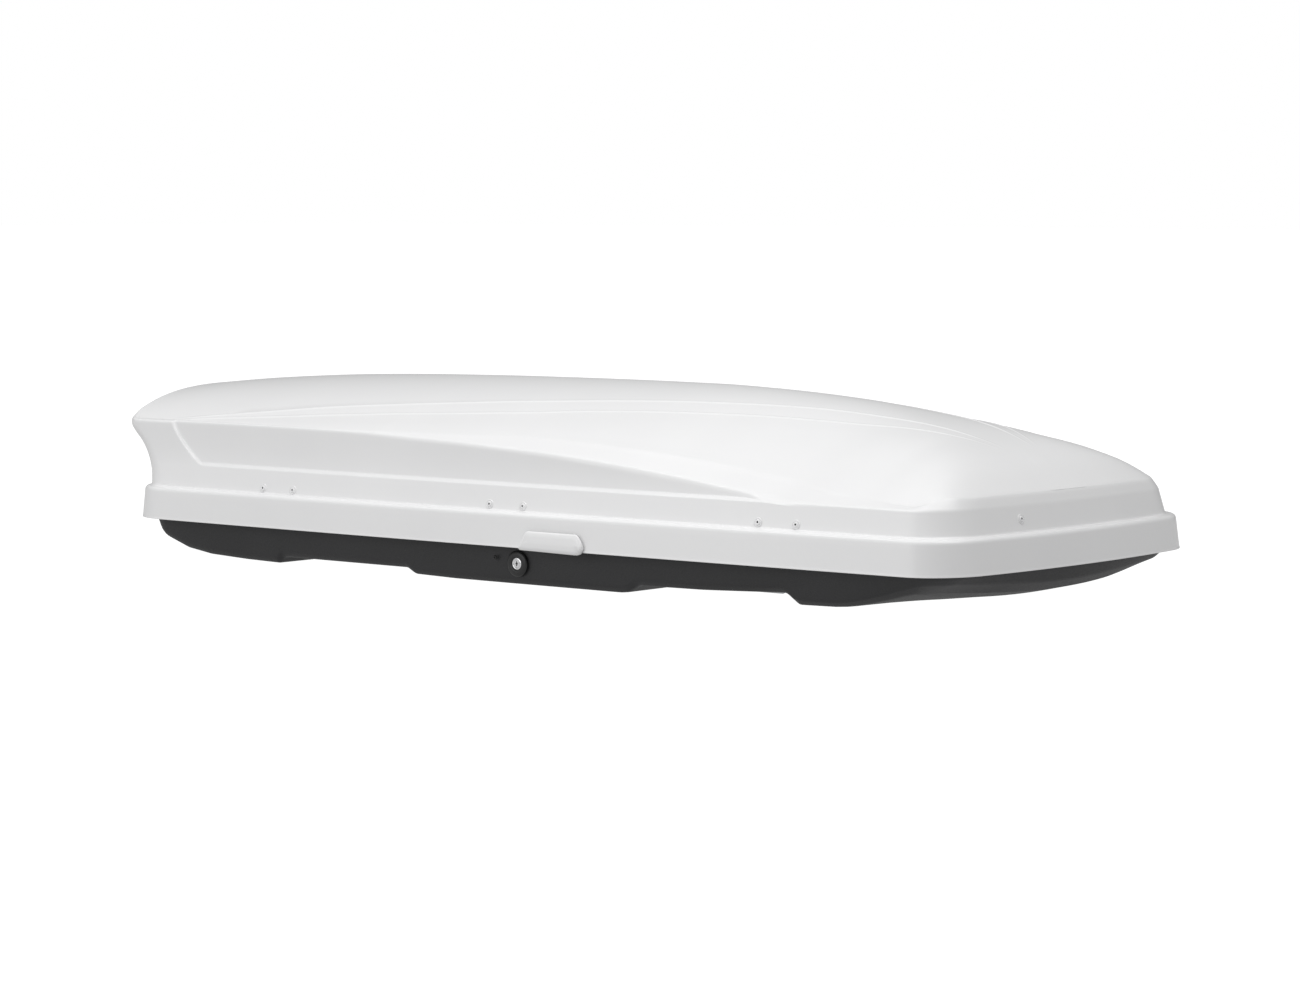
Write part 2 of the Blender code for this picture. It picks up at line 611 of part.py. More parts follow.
def make_struts(lid, pivots):
    """Two gas struts; each rod eye stands beside the lid's stud, where the linkage is open."""
    for end, x in zip(("rear", "nose"), STRUT_X):
        way = -1 if end == "rear" else 1
        foot, head = Vector((x, *TRAY_STUD)), Vector((x, *LID_STUD))
        line = (head - foot).normalized()
        wide = Vector((way, 0, 0))
        eye = rod(foot - wide * 0.004, foot + wide * 0.004, 0.0085, 16)
        tube = rod(foot + line * 0.004, foot + line * 0.270, STRUT_RADIUS, 20)
        bore = rod(foot + line * 0.030, foot + line * 0.280, ROD_RADIUS + CLEAR, 16)
        hole = rod(foot - wide * 0.02, foot + wide * 0.02, 0.0040 + CLEAR / 2, 14)
        add(end + "_strut_cylinder", cut(join(eye, tube), bore, hole), (BLACK, 0.25), pivots[end][0])
        shaft = rod(foot + line * 0.150, head - line * 0.004, ROD_RADIUS, 16)
        tip = rod(head - wide * 0.004, head + wide * 0.004, 0.0075, 16)
        add(end + "_strut_rod", join(shaft, tip), (STEEL, 0.15, 1.0), pivots[end][1])
        make_strut_brackets(end, x, way, foot, head, lid)


def make_strut_brackets(end, x, way, foot, head, lid):
    wall = rear_x if end == "rear" else nose_x
    plate_x = x + way * 0.0105
    base = STRUT_FOOT_Z[end]
    low = (min(plate_x, plate_x + way * 0.003), foot.y - 0.014, base)
    high = (max(plate_x, plate_x + way * 0.003), foot.y + 0.014, foot.z + 0.012)
    foot_low = (min(plate_x, plate_x + way * 0.010), foot.y - 0.014, base)
    foot_high = (max(plate_x, plate_x + way * 0.010), foot.y + 0.014, base + 0.003)
    stud = rod((x - way * 0.0055, foot.y, foot.z), (plate_x + way * 0.001, foot.y, foot.z), 0.0040, 14)
    solid = join(block(low, high), block(foot_low, foot_high), stud)
    add(end + "_tray_bracket", solid, (DARK_STEEL, 0.4, 1.0))

    inset = 0.0205 if end == "rear" else strip_inset(head.z + 0.011)
    inset += LID_WALL + 0.0012
    outer = wall(head.y - 0.012, inset)
    inner = x + way * 0.0135
    plate = block((min(inner, outer), head.y - 0.012, head.z - 0.011),
                  (max(inner, outer), head.y + 0.012, head.z + 0.011))
    stud = rod((x + way * 0.0045, head.y, head.z), (inner + way * 0.004, head.y, head.z), 0.0040, 14)
    add(end + "_lid_bracket", join(plate, stud), (DARK_STEEL, 0.4, 1.0), lid)


def make_braces(lid):
    """Two flat stiffening bars that follow the inside of the lid's deck."""
    for name, x in (("rear", -0.43), ("nose", 0.46)):
        reach = 0.27
        count = 10
        spots = [-reach + 2 * reach * i / count for i in range(count + 1)]
        drop = max(deck_z(x, 0) - deck_z(x + 0.02, 0), 0)
        top = [(y, deck_z(x, y) - LID_WALL - 0.0045 - 1.2 * drop) for y in spots]
        under = [(y, z - 0.006) for y, z in reversed(top)]
        add("lid_brace_" + name, outline(top + under, 0.030, "X", x - 0.015), (STEEL, 0.4, 1.0), lid)


def bolt_mesh(x, y, level):
    """A square U-bolt: two upright legs and a bottom bar under the floor."""
    curve = bpy.data.curves.new("bolt", "CURVE")
    curve.dimensions = "3D"
    curve.bevel_depth = BOLT_RADIUS
    curve.bevel_resolution = 2
    curve.use_fill_caps = True
    bend = 0.008
    top, low = 0.066, BOLT_RADIUS + level
    path = [(-BOLT_HALF, top)]
    for centre, start in ((-1, 180), (1, 270)):
        for step in range(4):
            angle = radians(start + 30 * step)
            middle = centre * (BOLT_HALF - bend)
            path.append((middle + bend * cos(angle), low + bend + bend * sin(angle)))
    path.append((BOLT_HALF, top))
    spline = curve.splines.new("POLY")
    spline.points.add(len(path) - 1)
    for point, (u, v) in zip(spline.points, path):
        point.co = (x + u, y, v, 1)
    piece = bpy.data.objects.new("bolt", curve)
    PARTS.objects.link(piece)
    return weld(take_mesh(piece))


def knob_outline(x, y):
    """Five lobes round a circle."""
    count = 40
    points = []
    for i in range(count):
        angle = 2 * pi * i / count
        reach = KNOB_RADIUS * (0.91 + 0.09 * cos(5 * angle))
        points.append((x + reach * cos(angle), y + reach * sin(angle)))
    return points


def make_clamps(slides, turns):
    for name, x, y in clamp_spots():
        floor = max(tray_floor(x + way * 0.062) for way in (-1, 1)) + TRAY_WALL + 0.0008
        plate = block((x - 0.062, y - 0.020, floor), (x + 0.062, y + 0.020, floor + 0.004))
        holes = [rod((x + leg * BOLT_HALF, y, 0), (x + leg * BOLT_HALF, y, 0.06), BOLT_RADIUS + CLEAR, 12)
                 for leg in (-1, 1)]
        add("clamp_plate_" + name, cut(plate, *holes), (DARK_STEEL, 0.4, 1.0))
        level = 0.0012
        add("u_bolt_" + name, bolt_mesh(x, y, level), (STEEL, 0.3, 1.0), slides[name])
        seat = floor + 0.004 + GAP
        for leg, tag in ((-1, "a"), (1, "b")):
            centre = x + leg * BOLT_HALF
            disc = outline(knob_outline(centre, y), 0.014, "Z", seat + 0.008)
            hub = rod((centre, y, seat), (centre, y, seat + 0.016), 0.012, 20)
            bore = rod((centre, y, seat - 0.01), (centre, y, 0.08), BOLT_RADIUS + CLEAR / 2, 12)
            add("clamp_knob_" + name + "_" + tag, cut(join(disc, hub), bore), (RED, 0.45), turns[name, tag])


def make_pivots():
    """Empties on the joints' axes."""
    lid = pivot("lid_axis", (LATCH_X[1], HINGE_Y, HINGE_Z))
    turn = pivot("lock_axis", (LOCK_X, side_y(LOCK_X, TRAY_INSET), LOCK_Z))
    slide = pivot("lock_bar_axis", (LATCH_X[1], RAIL_Y, BAR_Z))
    struts = {}
    for end, x in zip(("rear", "nose"), STRUT_X):
        foot = pivot(end + "_strut_axis", (x, *TRAY_STUD))
        struts[end] = (foot, pivot(end + "_rod_axis", (x, *TRAY_STUD)))
    slides, turns = {}, {}
    for name, x, y in clamp_spots():
        slides[name] = pivot("clamp_axis_" + name, (x, y, 0.03))
        for leg, tag in ((-1, "a"), (1, "b")):
            turns[name, tag] = pivot("knob_axis_" + name + "_" + tag, (x + leg * BOLT_HALF, y, 0.03))
    return lid, turn, slide, struts, slides, turns


clear_scene()
PARTS = make_collection("roof_cargo_box")
CUTTERS = make_collection("cutters")
LID, TURN, SLIDE, STRUTS, SLIDES, TURNS = make_pivots()
make_tray()
make_lid(LID)
make_rivets(LID)
make_grip(LID)
make_hinges(LID)
make_latches(LID, SLIDE)
make_lock(TURN)
make_struts(LID, STRUTS)
make_braces(LID)
make_clamps(SLIDES, TURNS)
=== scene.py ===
"""Looks of the roof cargo box: fine shells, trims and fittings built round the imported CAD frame.

Metres, +Z up. +X is the nose of the box, -Y the side that opens, +Y the hinge side.
Pieces take their places from the CAD nodes' boxes. The lid's heights count from its lower edge.
"""
import json
from math import cos, pi, radians, sin, sqrt

import bmesh
import bpy
import numpy as np
from mathutils import Matrix, Vector


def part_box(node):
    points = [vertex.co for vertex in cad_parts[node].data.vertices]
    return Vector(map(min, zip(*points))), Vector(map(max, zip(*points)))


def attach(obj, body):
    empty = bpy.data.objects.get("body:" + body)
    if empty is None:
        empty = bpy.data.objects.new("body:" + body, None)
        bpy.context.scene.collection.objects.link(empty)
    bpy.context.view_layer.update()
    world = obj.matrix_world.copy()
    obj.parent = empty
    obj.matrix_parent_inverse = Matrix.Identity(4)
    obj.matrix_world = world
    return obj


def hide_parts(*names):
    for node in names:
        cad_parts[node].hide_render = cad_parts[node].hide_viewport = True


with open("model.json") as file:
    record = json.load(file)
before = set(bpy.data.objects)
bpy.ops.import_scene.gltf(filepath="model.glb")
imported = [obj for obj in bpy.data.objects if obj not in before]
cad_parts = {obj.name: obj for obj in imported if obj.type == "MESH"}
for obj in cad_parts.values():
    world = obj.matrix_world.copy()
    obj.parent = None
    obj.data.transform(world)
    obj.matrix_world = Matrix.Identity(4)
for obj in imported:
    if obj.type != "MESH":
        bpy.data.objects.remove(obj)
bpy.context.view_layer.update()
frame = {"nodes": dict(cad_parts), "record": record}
LID_LOW, LID_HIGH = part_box("lid_shell")
TRAY_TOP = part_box("tray_shell")[1].z

# Plan of the lid's skirt
TAIL = 0.0435              # how far the tail stands out behind the skirt
NOSE_X, REAR_X = LID_HIGH.x, LID_LOW.x + TAIL
HALF_WIDTH = LID_HIGH.y
SIDE_BOW, BOW_X = 0.0151, -0.058
NOSE_BOW, REAR_BOW = 0.032, 0.044
NOSE_ROUND_X, NOSE_ROUND_Y, REAR_ROUND = 0.0733, 0.0977, 0.0886
LID_TIGHTEN = 0.25         # share of the inset by which the lid's upper nose corners are tighter
LEAST_ROUND = 0.02         # radius that a corner keeps at any inset

# Heights
SKIRT_Z = LID_LOW.z
SHOULDER, STRIP, RIDGE = 0.060, 0.0625, 0.104
RIDGE_FOOT = 0.098         # where the rows of points get close together below the ridge
WALL_TOP = 0.187           # of the upper wall where it is tallest
LID_WALL, TRAY_WALL = 0.0035, 0.004

# Inset of each wall from the skirt's outline
SHOULDER_INSET, STRIP_INSET, RIDGE_INSET = 0.007, 0.0225, 0.0325
REAR_STRIP_INSET = 0.020
FLUSH_INSET = 0.0385       # of the deck's edge where the panel isn't sunk
PANEL_DEPTH = 0.006
RIDGE_WIDTH, SCROLL_WIDTH = 0.009, 0.014    # over which the wall sinks into the panel
PANEL_END, PANEL_FADE = 0.60, 0.16          # x at which the panel starts to come out, and over what length
SCROLL_FROM, SCROLL_TO = -0.87, -0.735      # x over which the lid's columns are close together
BEAD_HEIGHT, BEAD_WIDTH = 0.0011, 0.0045    # of the thin beads along the deck's sloping band
NOSE_FACET = 0.041         # inset of the deck's end at the nose
NOSE_SWELL = 0.0002        # how far the facet bulges between the wall's edge and the deck at the nose
FACET_BEAD = 0.0010        # height of the fine ridge along the facet's upper edge
TAIL_FACET = 0.012         # how far the tail's edge lies below the deck, and behind the deck's end
TAIL_ROUND = 0.013         # how far the rounding of the tail's edge reaches
HEM_INSET, HEM_Z = 0.0034, 0.0014      # of the hem's inner edge, and height at which its rounding ends
LIP_INSET, LIP_Z = 0.0009, 0.0034      # a fine lip along the skirt's lower edge
TRAY_INSET = 0.030

# Curves along the lid as (x, value), heights above the lid's lower edge
EDGE_HEIGHT = [(-0.96, 0.187), (-0.64, 0.1875), (-0.40, 0.186), (-0.21, 0.180), (-0.06, 0.175),
               (0.10, 0.167), (0.23, 0.1565), (0.41, 0.138), (0.56, 0.120), (0.66, 0.1085), (0.72, 0.1065)]
CROWN_HEIGHT = [(-1.022, 0.245), (-0.88, 0.258), (-0.66, 0.270), (-0.45, 0.276), (-0.24, 0.279),
                (0.0, 0.280), (0.20, 0.279), (0.33, 0.275), (0.51, 0.263), (0.69, 0.2385), (0.77, 0.2235),
                (0.85, 0.201), (0.92, 0.1705), (0.985, 0.122)]
FACET_HEIGHT = [(-0.96, 0.1890), (-0.64, 0.1895), (-0.30, 0.1890), (-0.1, 0.190), (0.03, 0.1915),
                (0.277, 0.1805), (0.435, 0.1669), (0.524, 0.1565), (0.627, 0.1441), (0.739, 0.1283),
                (0.85, 0.1160), (0.90, 0.1120)]
FACET_INSET = [(-0.30, 0.050), (-0.1, 0.060), (0.03, 0.075), (0.277, 0.080), (0.435, 0.083),
               (0.524, 0.088), (0.627, 0.084), (0.739, 0.062), (0.85, 0.053), (0.90, 0.052)]
CROWN_POWER = [(-1.0, 2.8), (-0.7, 2.1), (-0.2, 1.8), (0.3, 1.75), (0.6, 2.05), (0.8, 2.9), (0.88, 5.0),
               (0.94, 9.0)]
EDGE_ROUND = [(-0.9, 0.006), (-0.4, 0.006), (0.1, 0.008), (0.4, 0.009), (0.62, 0.008), (0.75, 0.004)]
# The welts: |y| of the inner and the outer bead, the drop between them, and their share of full height
WELT_IN = [(-0.86, 0.345), (-0.79, 0.333), (-0.63, 0.302), (-0.48, 0.270), (-0.34, 0.247), (-0.144, 0.2136),
           (0.05, 0.180), (0.24, 0.149), (0.41, 0.121), (0.60, 0.091), (0.74, 0.070), (0.82, 0.055),
           (0.90, 0.035)]
WELT_OUT = [(-0.86, 0.350), (-0.79, 0.341), (-0.61, 0.321), (-0.45, 0.300), (-0.31, 0.283), (-0.10, 0.256),
            (0.084, 0.222), (0.273, 0.191), (0.443, 0.165), (0.644, 0.135), (0.774, 0.103), (0.84, 0.074),
            (0.90, 0.045)]
WELT_DROP = [(-0.80, 0.0), (-0.55, 0.0012), (-0.20, 0.0018), (0.50, 0.0018), (0.72, 0.0008), (0.80, 0.0)]
WELT_FADE = [(-0.86, 0.0), (-0.75, 1.0), (0.76, 1.0), (0.88, 0.0)]
SPINE = [-0.90, -0.80, -0.70, 0.74, 0.83, 0.90]     # where the deck's columns meet the centre line

# Curves up the lid's wall as (height, value): x of the panel's rear end, and inset of the rear wall
SCROLL = [(0.104, -0.754), (0.116, -0.776), (0.133, -0.799), (0.149, -0.818), (0.168, -0.835),
          (0.186, -0.845)]
TAIL_WALL = [(0.0625, 0.0200), (0.085, 0.0190), (0.100, 0.0150), (0.124, 0.0040), (0.146, -0.0125),
             (0.161, -0.0290), (0.177, -0.0420), (0.187, -0.0435)]

# Underside of the tray's floor on its centre line as (x, z)
FLOOR = [(-0.900, 0.063), (-0.872, 0.036), (-0.802, 0.014), (-0.740, 0.0055), (-0.640, 0.0015),
         (-0.550, 0.0), (-0.538, 0.0125), (-0.217, 0.0125), (-0.197, 0.002), (-0.100, 0.0), (0.290, 0.0),
         (0.308, 0.002), (0.331, 0.015), (0.471, 0.0165), (0.648, 0.023), (0.672, 0.004),
         (0.786, 0.0055), (0.850, 0.0075), (0.900, 0.012), (0.965, 0.026)]
FLOOR_FOLD = 0.004                 # how far the rounding of the floor's folds reaches
HULL_START, HULL_END = 0.74, 0.94  # x over which the floor turns into a hull below the nose
HULL_RISE, HULL_HALF = 0.026, 0.334
FLAT_INSETS = (0.012, 0.040, 0.018)     # of the flat floor's edge from the wall: side, nose, rear
WAIST_Z = 0.066                    # where the tray's wall turns in

# Fittings
CLAMPS = [end + "_" + side for end in ("rear", "front") for side in ("near", "far")]
BOLT_HALF, BOLT_RADIUS = 0.042, 0.0035
BOLT_HOLE, LOCK_HOLE = 0.0042, 0.0152   # radii of the holes in the tray
KNOB_RADIUS, KNOB_BORE = 0.023, 0.0037
TRAY_STUD = (0.263, 0.070)         # y and z of the struts' studs while the lid is closed
LID_STUD = (-0.159, 0.150)
GRIP_LEAN = 0.5                    # share by which the grip gets thinner towards its top
RIVET_SHADE_RADIUS = 0.0017                # radius within which a rivet's blind hole is painted dark: painted shade in the hole, over the mandrel's dark end
EDGE_BEVEL = 0.0005                # of the CAD nodes that stay in view

# Camera, light and floor
CAMERA_LENS, CAMERA_SENSOR = 105.2, 36.0
CAMERA_PLACE = (4.5272, -5.4047, 0.6913)
CAMERA_BACK = (0.63531, -0.76809, 0.08007)     # from what the camera looks at towards the camera
WORLD_LOW, WORLD_HIGH = 0.45, 0.60             # strength of the sky as a light, at the horizon and overhead
FLOOR_GLOW, FLOOR_SEEN = 0.55, 1.22            # strength of the floor as a light, and as the camera sees it
FLOOR_SHARE = 0.85                             # of the glow in the floor's surface
FLOOR_HALF, FLOOR_DROP = 60.0, 0.0005


# ---------------------------------------------------------------- curves and outlines

def curve(points, x):
    """A smooth curve through (x, value) points that never overshoots between them."""
    if x <= points[0][0]:
        return points[0][1]
    if x >= points[-1][0]:
        return points[-1][1]
    spot = max(i for i in range(len(points) - 1) if points[i][0] <= x)
    (x0, y0), (x1, y1) = points[spot], points[spot + 1]
    run = x1 - x0
    t = (x - x0) / run
    lean0, lean1 = slope(points, spot) * run, slope(points, spot + 1) * run
    ends = (2 * t ** 3 - 3 * t ** 2 + 1) * y0 + (3 * t ** 2 - 2 * t ** 3) * y1
    return ends + (t ** 3 - 2 * t ** 2 + t) * lean0 + (t ** 3 - t ** 2) * lean1


def slope(points, spot):
    """Slope of the curve at one of its points: nothing at a peak."""
    last = len(points) - 1
    if spot in (0, last):
        a, b = (0, 1) if spot == 0 else (last - 1, last)
        return (points[b][1] - points[a][1]) / (points[b][0] - points[a][0])
    left = (points[spot][1] - points[spot - 1][1]) / (points[spot][0] - points[spot - 1][0])
    right = (points[spot + 1][1] - points[spot][1]) / (points[spot + 1][0] - points[spot][0])
    return 0.0 if left * right <= 0 else 2 * left * right / (left + right)


def straight(points, x):
    """Straight runs between (x, value) points."""
    return float(np.interp(x, [p[0] for p in points], [p[1] for p in points]))


def clamp(t):
    """A value held between 0 and 1."""
    return min(max(t, 0.0), 1.0)


def ease(t):
    """A smooth step from 0 to 1 with soft ends."""
    t = clamp(t)
    return t * t * t * (t * (6 * t - 15) + 10)


def gentle(t):
    """A smooth step from 0 to 1 that is less steep in the middle than ease."""
    t = clamp(t)
    return t * t * (3 - 2 * t)


def side_y(x, inset=0.0):
    """y of the near side wall, which bows out a little, as the two end walls do."""
    return -(HALF_WIDTH - SIDE_BOW * (x - BOW_X) ** 2 - inset)


def nose_x(y, inset=0.0):
    """x of the nose wall."""
    return NOSE_X - NOSE_BOW * (y / HALF_WIDTH) ** 2 - inset


def rear_x(y, inset=0.0):
    """x of the rear wall."""
    return REAR_X + REAR_BOW * (y / HALF_WIDTH) ** 2 + inset


def corner(end_x, side, inset, round_x, round_y, turn):
    """A point on a rounded corner, where turn runs from 0 on the end wall to 1 on the side."""
    x = 0.9 if end_x is nose_x else -0.9      # a first guess
    off_end = round_x * (1 - cos(turn * pi / 2))
    off_side = round_y * (1 - sin(turn * pi / 2))
    for _ in range(12):     # each wall's bow depends on the other coordinate
        y = side_y(x, side + off_side)
        x = end_x(y, inset + off_end)
    return x, y


def plan(place, side, nose, rear, tighten=LID_TIGHTEN):
    """A point of the near half's outline at the insets of side, nose and rear walls. Place runs
    from 0 at the rear's centre through the rear corner (1-2), the side (2-3) and the nose corner
    (3-4) to 5 at the nose's centre. The nose corner's radii shrink by the share tighten of the inset."""
    rear_round = max(REAR_ROUND - side, LEAST_ROUND)
    round_x = max(NOSE_ROUND_X - tighten * side, LEAST_ROUND)
    round_y = max(NOSE_ROUND_Y - tighten * side, LEAST_ROUND)
    part = min(int(place), 4)
    t = place - part
    if part == 0:
        y = corner(rear_x, side, rear, rear_round, rear_round, 0)[1] * t
        return rear_x(y, rear), y
    if part == 1:
        return corner(rear_x, side, rear, rear_round, rear_round, t)
    if part == 2:
        start = corner(rear_x, side, rear, rear_round, rear_round, 1)[0]
        end = corner(nose_x, side, nose, round_x, round_y, 1)[0]
        x = start * (1 - t) + end * t
        return x, side_y(x, side)
    if part == 3:
        return corner(nose_x, side, nose, round_x, round_y, 1 - t)
    y = corner(nose_x, side, nose, round_x, round_y, 0)[1] * (1 - t)
    return nose_x(y, nose), y


def fillet(before, corner_point, after, count, reach_in, reach_out):
    """Points round a corner between two neighbours, on a curve that starts and ends on the straights."""
    before, corner_point, after = Vector(before), Vector(corner_point), Vector(after)
    back, on = before - corner_point, after - corner_point
    start = corner_point + back * min(1.0, reach_in / max(back.length, 1e-9))
    end = corner_point + on * min(1.0, reach_out / max(on.length, 1e-9))
    points = []
    for i in range(count):
        t = i / (count - 1)
        points.append(start * (1 - t) ** 2 + corner_point * 2 * t * (1 - t) + end * t ** 2)
    return points


# ---------------------------------------------------------------- the lid

def smooth_deck(x, y):
    """Height of the deck before the welts, above the lid's lower edge."""
    half = -side_y(x) - curve(FACET_INSET, x)
    along = x + NOSE_BOW * (y / HALF_WIDTH) ** 2 * clamp((x - 0.5) / 0.4)    # follows the nose's bow
    crown = curve(CROWN_HEIGHT, along)
    edge = min(curve(FACET_HEIGHT, x), crown)
    out = min(abs(y) / half, 1.0)
    return crown - (crown - edge) * out ** curve(CROWN_POWER, x)


def deck_z(x, y):
    """Height of the deck: a middle field, a sloping band down and a thin bead on each side of the band."""
    inner, outer = curve(WELT_IN, x), curve(WELT_OUT, x)
    drop = curve(WELT_DROP, x)
    spot = abs(y)
    half = -side_y(x) - curve(FACET_INSET, x)
    if spot <= inner:
        share = 0.0
    elif spot >= outer:
        share = -ease((half - spot) / max(half - outer, 1e-6))
    else:
        share = -(spot - inner) / max(outer - inner, 1e-6)
    bead = sum(1 - ease(abs(spot - line) / BEAD_WIDTH) for line in (inner, outer))
    lift = BEAD_HEIGHT * curve(WELT_FADE, x) * min(bead, 1.0)
    return SKIRT_Z + smooth_deck(x, y) + drop * share + lift


def edge_height(x, y, place):
    """Height of the deck's edge, which arches up over the tail."""
    level = curve(EDGE_HEIGHT, x)
    if place < 2:
        arch = smooth_deck(x, y) - TAIL_FACET
        level += max(0.0, arch - level) * min(1.0, 2 - place)
    return level


def flush_inset(level):
    """Inset of the side wall where it isn't sunk: straight up to the ridge, then ever steeper."""
    if level <= RIDGE:
        return STRIP_INSET + (RIDGE_INSET - STRIP_INSET) * (level - STRIP) / (RIDGE - STRIP)
    lean = (RIDGE_INSET - STRIP_INSET) / (RIDGE - STRIP)
    tall, deep = WALL_TOP - RIDGE, FLUSH_INSET - RIDGE_INSET
    share = min((level - RIDGE) / tall, 1.0)
    return RIDGE_INSET + deep * (1 - (1 - share) ** (lean * tall / deep))


def sunk(x, level):
    """How deep the side panel is sunk at a point: nothing behind the scroll or under the ridge."""
    rear = ease((x - curve(SCROLL, level)) / SCROLL_WIDTH)
    front = 1 - ease((x - PANEL_END) / PANEL_FADE)
    return PANEL_DEPTH * ease((level - RIDGE) / RIDGE_WIDTH) * rear * front


def wall_point(place, level, top):
    """A point of the lid's upper wall at a height; top is the height of the deck's edge there."""
    tail_share = (level - STRIP) / max(top - STRIP, 1e-6)
    rear = curve(TAIL_WALL, STRIP + tail_share * (TAIL_WALL[-1][0] - STRIP))
    flush = flush_inset(level)
    x = plan(place, flush, flush, rear)[0]
    side = flush + sunk(x, level)
    x, y = plan(place, side, flush, rear)
    return Vector((x, y, SKIRT_Z + level))


def skirt_point(place, inset, level, rear=None):
    """A point of the skirt at one inset all round, or with its own inset at the rear."""
    x, y = plan(place, inset, inset, inset if rear is None else rear)
    return Vector((x, y, SKIRT_Z + level))


def wall_levels(top, reach):
    """Heights of the rows of the upper wall: even on the strip and the panel, close round the ridge."""
    high = top - reach
    close = min(RIDGE + 0.010, RIDGE_FOOT + 0.75 * (high - RIDGE_FOOT))
    return (list(np.linspace(STRIP + 0.004, RIDGE_FOOT, 5)[:-1])
            + list(np.linspace(RIDGE_FOOT, close, 13)[:-1]) + list(np.linspace(close, high, 15)))


def crossing(start, end, line):
    """Share of the way from start to end at which a column meets a line that runs along the deck."""
    low, high = 0.0, 1.0
    for _ in range(24):
        mid = (low + high) / 2
        x, y = start.x + (end.x - start.x) * mid, start.y * (1 - mid)
        if -y > curve(line, x):
            low = mid
        else:
            high = mid
    return (low + high) / 2


def deck_shares(start, end):
    """Shares of the way to the centre line for the deck's rows, close together on the welts."""
    outer = min(max(crossing(start, end, WELT_OUT), 0.05), 0.90)
    inner = min(max(crossing(start, end, WELT_IN), outer + 0.04), 0.96)
    length = max((end - start).length, 1e-6)
    near = min(0.006 / length, outer * 0.4, (inner - outer) * 0.4, (1 - inner) * 0.4)
    stops = [(0.0, 12), (outer - near, 8), (outer + near, 5), (inner - near, 8), (inner + near, 14),
             (1.0, 0)]      # a share, and the number of rows up to the next
    shares = []
    for (low, count), (high, _) in zip(stops, stops[1:]):
        shares += [low + (high - low) * i / count for i in range(count)]
    return shares + [1.0]


def skirt_part(place):
    """The column's points from the inside of the hem up to the shoulder's inner end."""
    inner, outer = skirt_point(place, HEM_INSET, 0.0), skirt_point(place, 0.0, 0.0)
    side = skirt_point(place, 0.0, HEM_Z)
    lip = skirt_point(place, LIP_INSET, LIP_Z)
    shoulder = skirt_point(place, SHOULDER_INSET, SHOULDER)
    foot = skirt_point(place, STRIP_INSET, STRIP, REAR_STRIP_INSET)
    part = [inner] + fillet(inner, outer, side, 4, 0.0006, 0.0006)
    part += fillet(side, lip, shoulder, 4, 0.0008, 0.0012)
    part += [lip.lerp(shoulder, share) for share in (0.15, 0.35, 0.55, 0.72)]
    part += fillet(lip, shoulder, foot, 9, 0.008, 0.0075)
    return part, shoulder, foot


def deck_part(place, edge, last, reach):
    """The column's points from the wall's rounded edge over the facet to the deck's centre line."""
    x, y = plan(place, NOSE_FACET, NOSE_FACET, TAIL_FACET - TAIL)
    for _ in range(3):      # the facet's inset depends on the x that it leads to
        x, y = plan(place, curve(FACET_INSET, x), NOSE_FACET, TAIL_FACET - TAIL)
    facet = Vector((x, y, deck_z(x, y)))
    spine = Vector((straight(list(enumerate(SPINE)), place), 0.0, 0.0))
    length = (facet - edge).length
    part = fillet(last, edge, facet, 9, reach, min(reach, 0.45 * length))
    swell = Vector((0.0, 0.0, NOSE_SWELL * ease((x - 0.80) / 0.12)))
    for share in (0.5, 0.6, 0.7, 0.8):
        part.append(edge.lerp(facet, share) + swell * 4 * share * (1 - share))
    on = facet.lerp(spine, 0.03)
    on.z = deck_z(on.x, on.y)
    bead = Vector((0.0, 0.0, clamp(x / 0.3) * clamp((0.80 - x) / 0.1) * FACET_BEAD))
    part += fillet(edge, facet + bead, on, 5, min(0.004, 0.18 * length), 0.004)[:-1]
    for share in deck_shares(facet, spine)[1:]:
        x, y = facet.x + (spine.x - facet.x) * share, facet.y * (1 - share)
        part.append(Vector((x, y, deck_z(x, y))))
    return part


def lid_column(place):
    """The lid's outer points from the inside of the hem up to the deck's centre line."""
    column, shoulder, foot = skirt_part(place)
    x, y = plan(place, FLUSH_INSET, FLUSH_INSET, -TAIL)
    top = edge_height(x, y, place)
    rear_share = clamp(2.0 - place)
    reach = curve(EDGE_ROUND, x) * (1 - rear_share) + TAIL_ROUND * rear_share
    wall = [wall_point(place, level, top) for level in wall_levels(top, reach)]
    column += fillet(shoulder, foot, wall[0], 6, 0.004, 0.004) + wall[1:-1]
    return column + deck_part(place, wall_point(place, top, top), wall[-1], reach)


def lid_places():
    """Places of the lid's columns: closer together along the scroll."""
    start, end = plan(2, FLUSH_INSET, FLUSH_INSET, -TAIL)[0], plan(3, FLUSH_INSET, FLUSH_INSET, -TAIL)[0]
    spots = (list(np.linspace(start, SCROLL_FROM, 4)[:-1])
             + list(np.linspace(SCROLL_FROM, SCROLL_TO, 48)[:-1]) + list(np.linspace(SCROLL_TO, end, 170)))
    side = [2 + (x - start) / (end - start) for x in spots]
    steps = 22
    return ([i / steps for i in range(2 * steps)] + side[:-1]
            + [3 + i / steps for i in range(2 * steps + 1)])


# ---------------------------------------------------------------- meshes and pieces

def as_mesh(shape, name):
    """Turn a bmesh into a mesh and free it."""
    mesh = bpy.data.meshes.new(name)
    shape.to_mesh(mesh)
    shape.free()
    return mesh


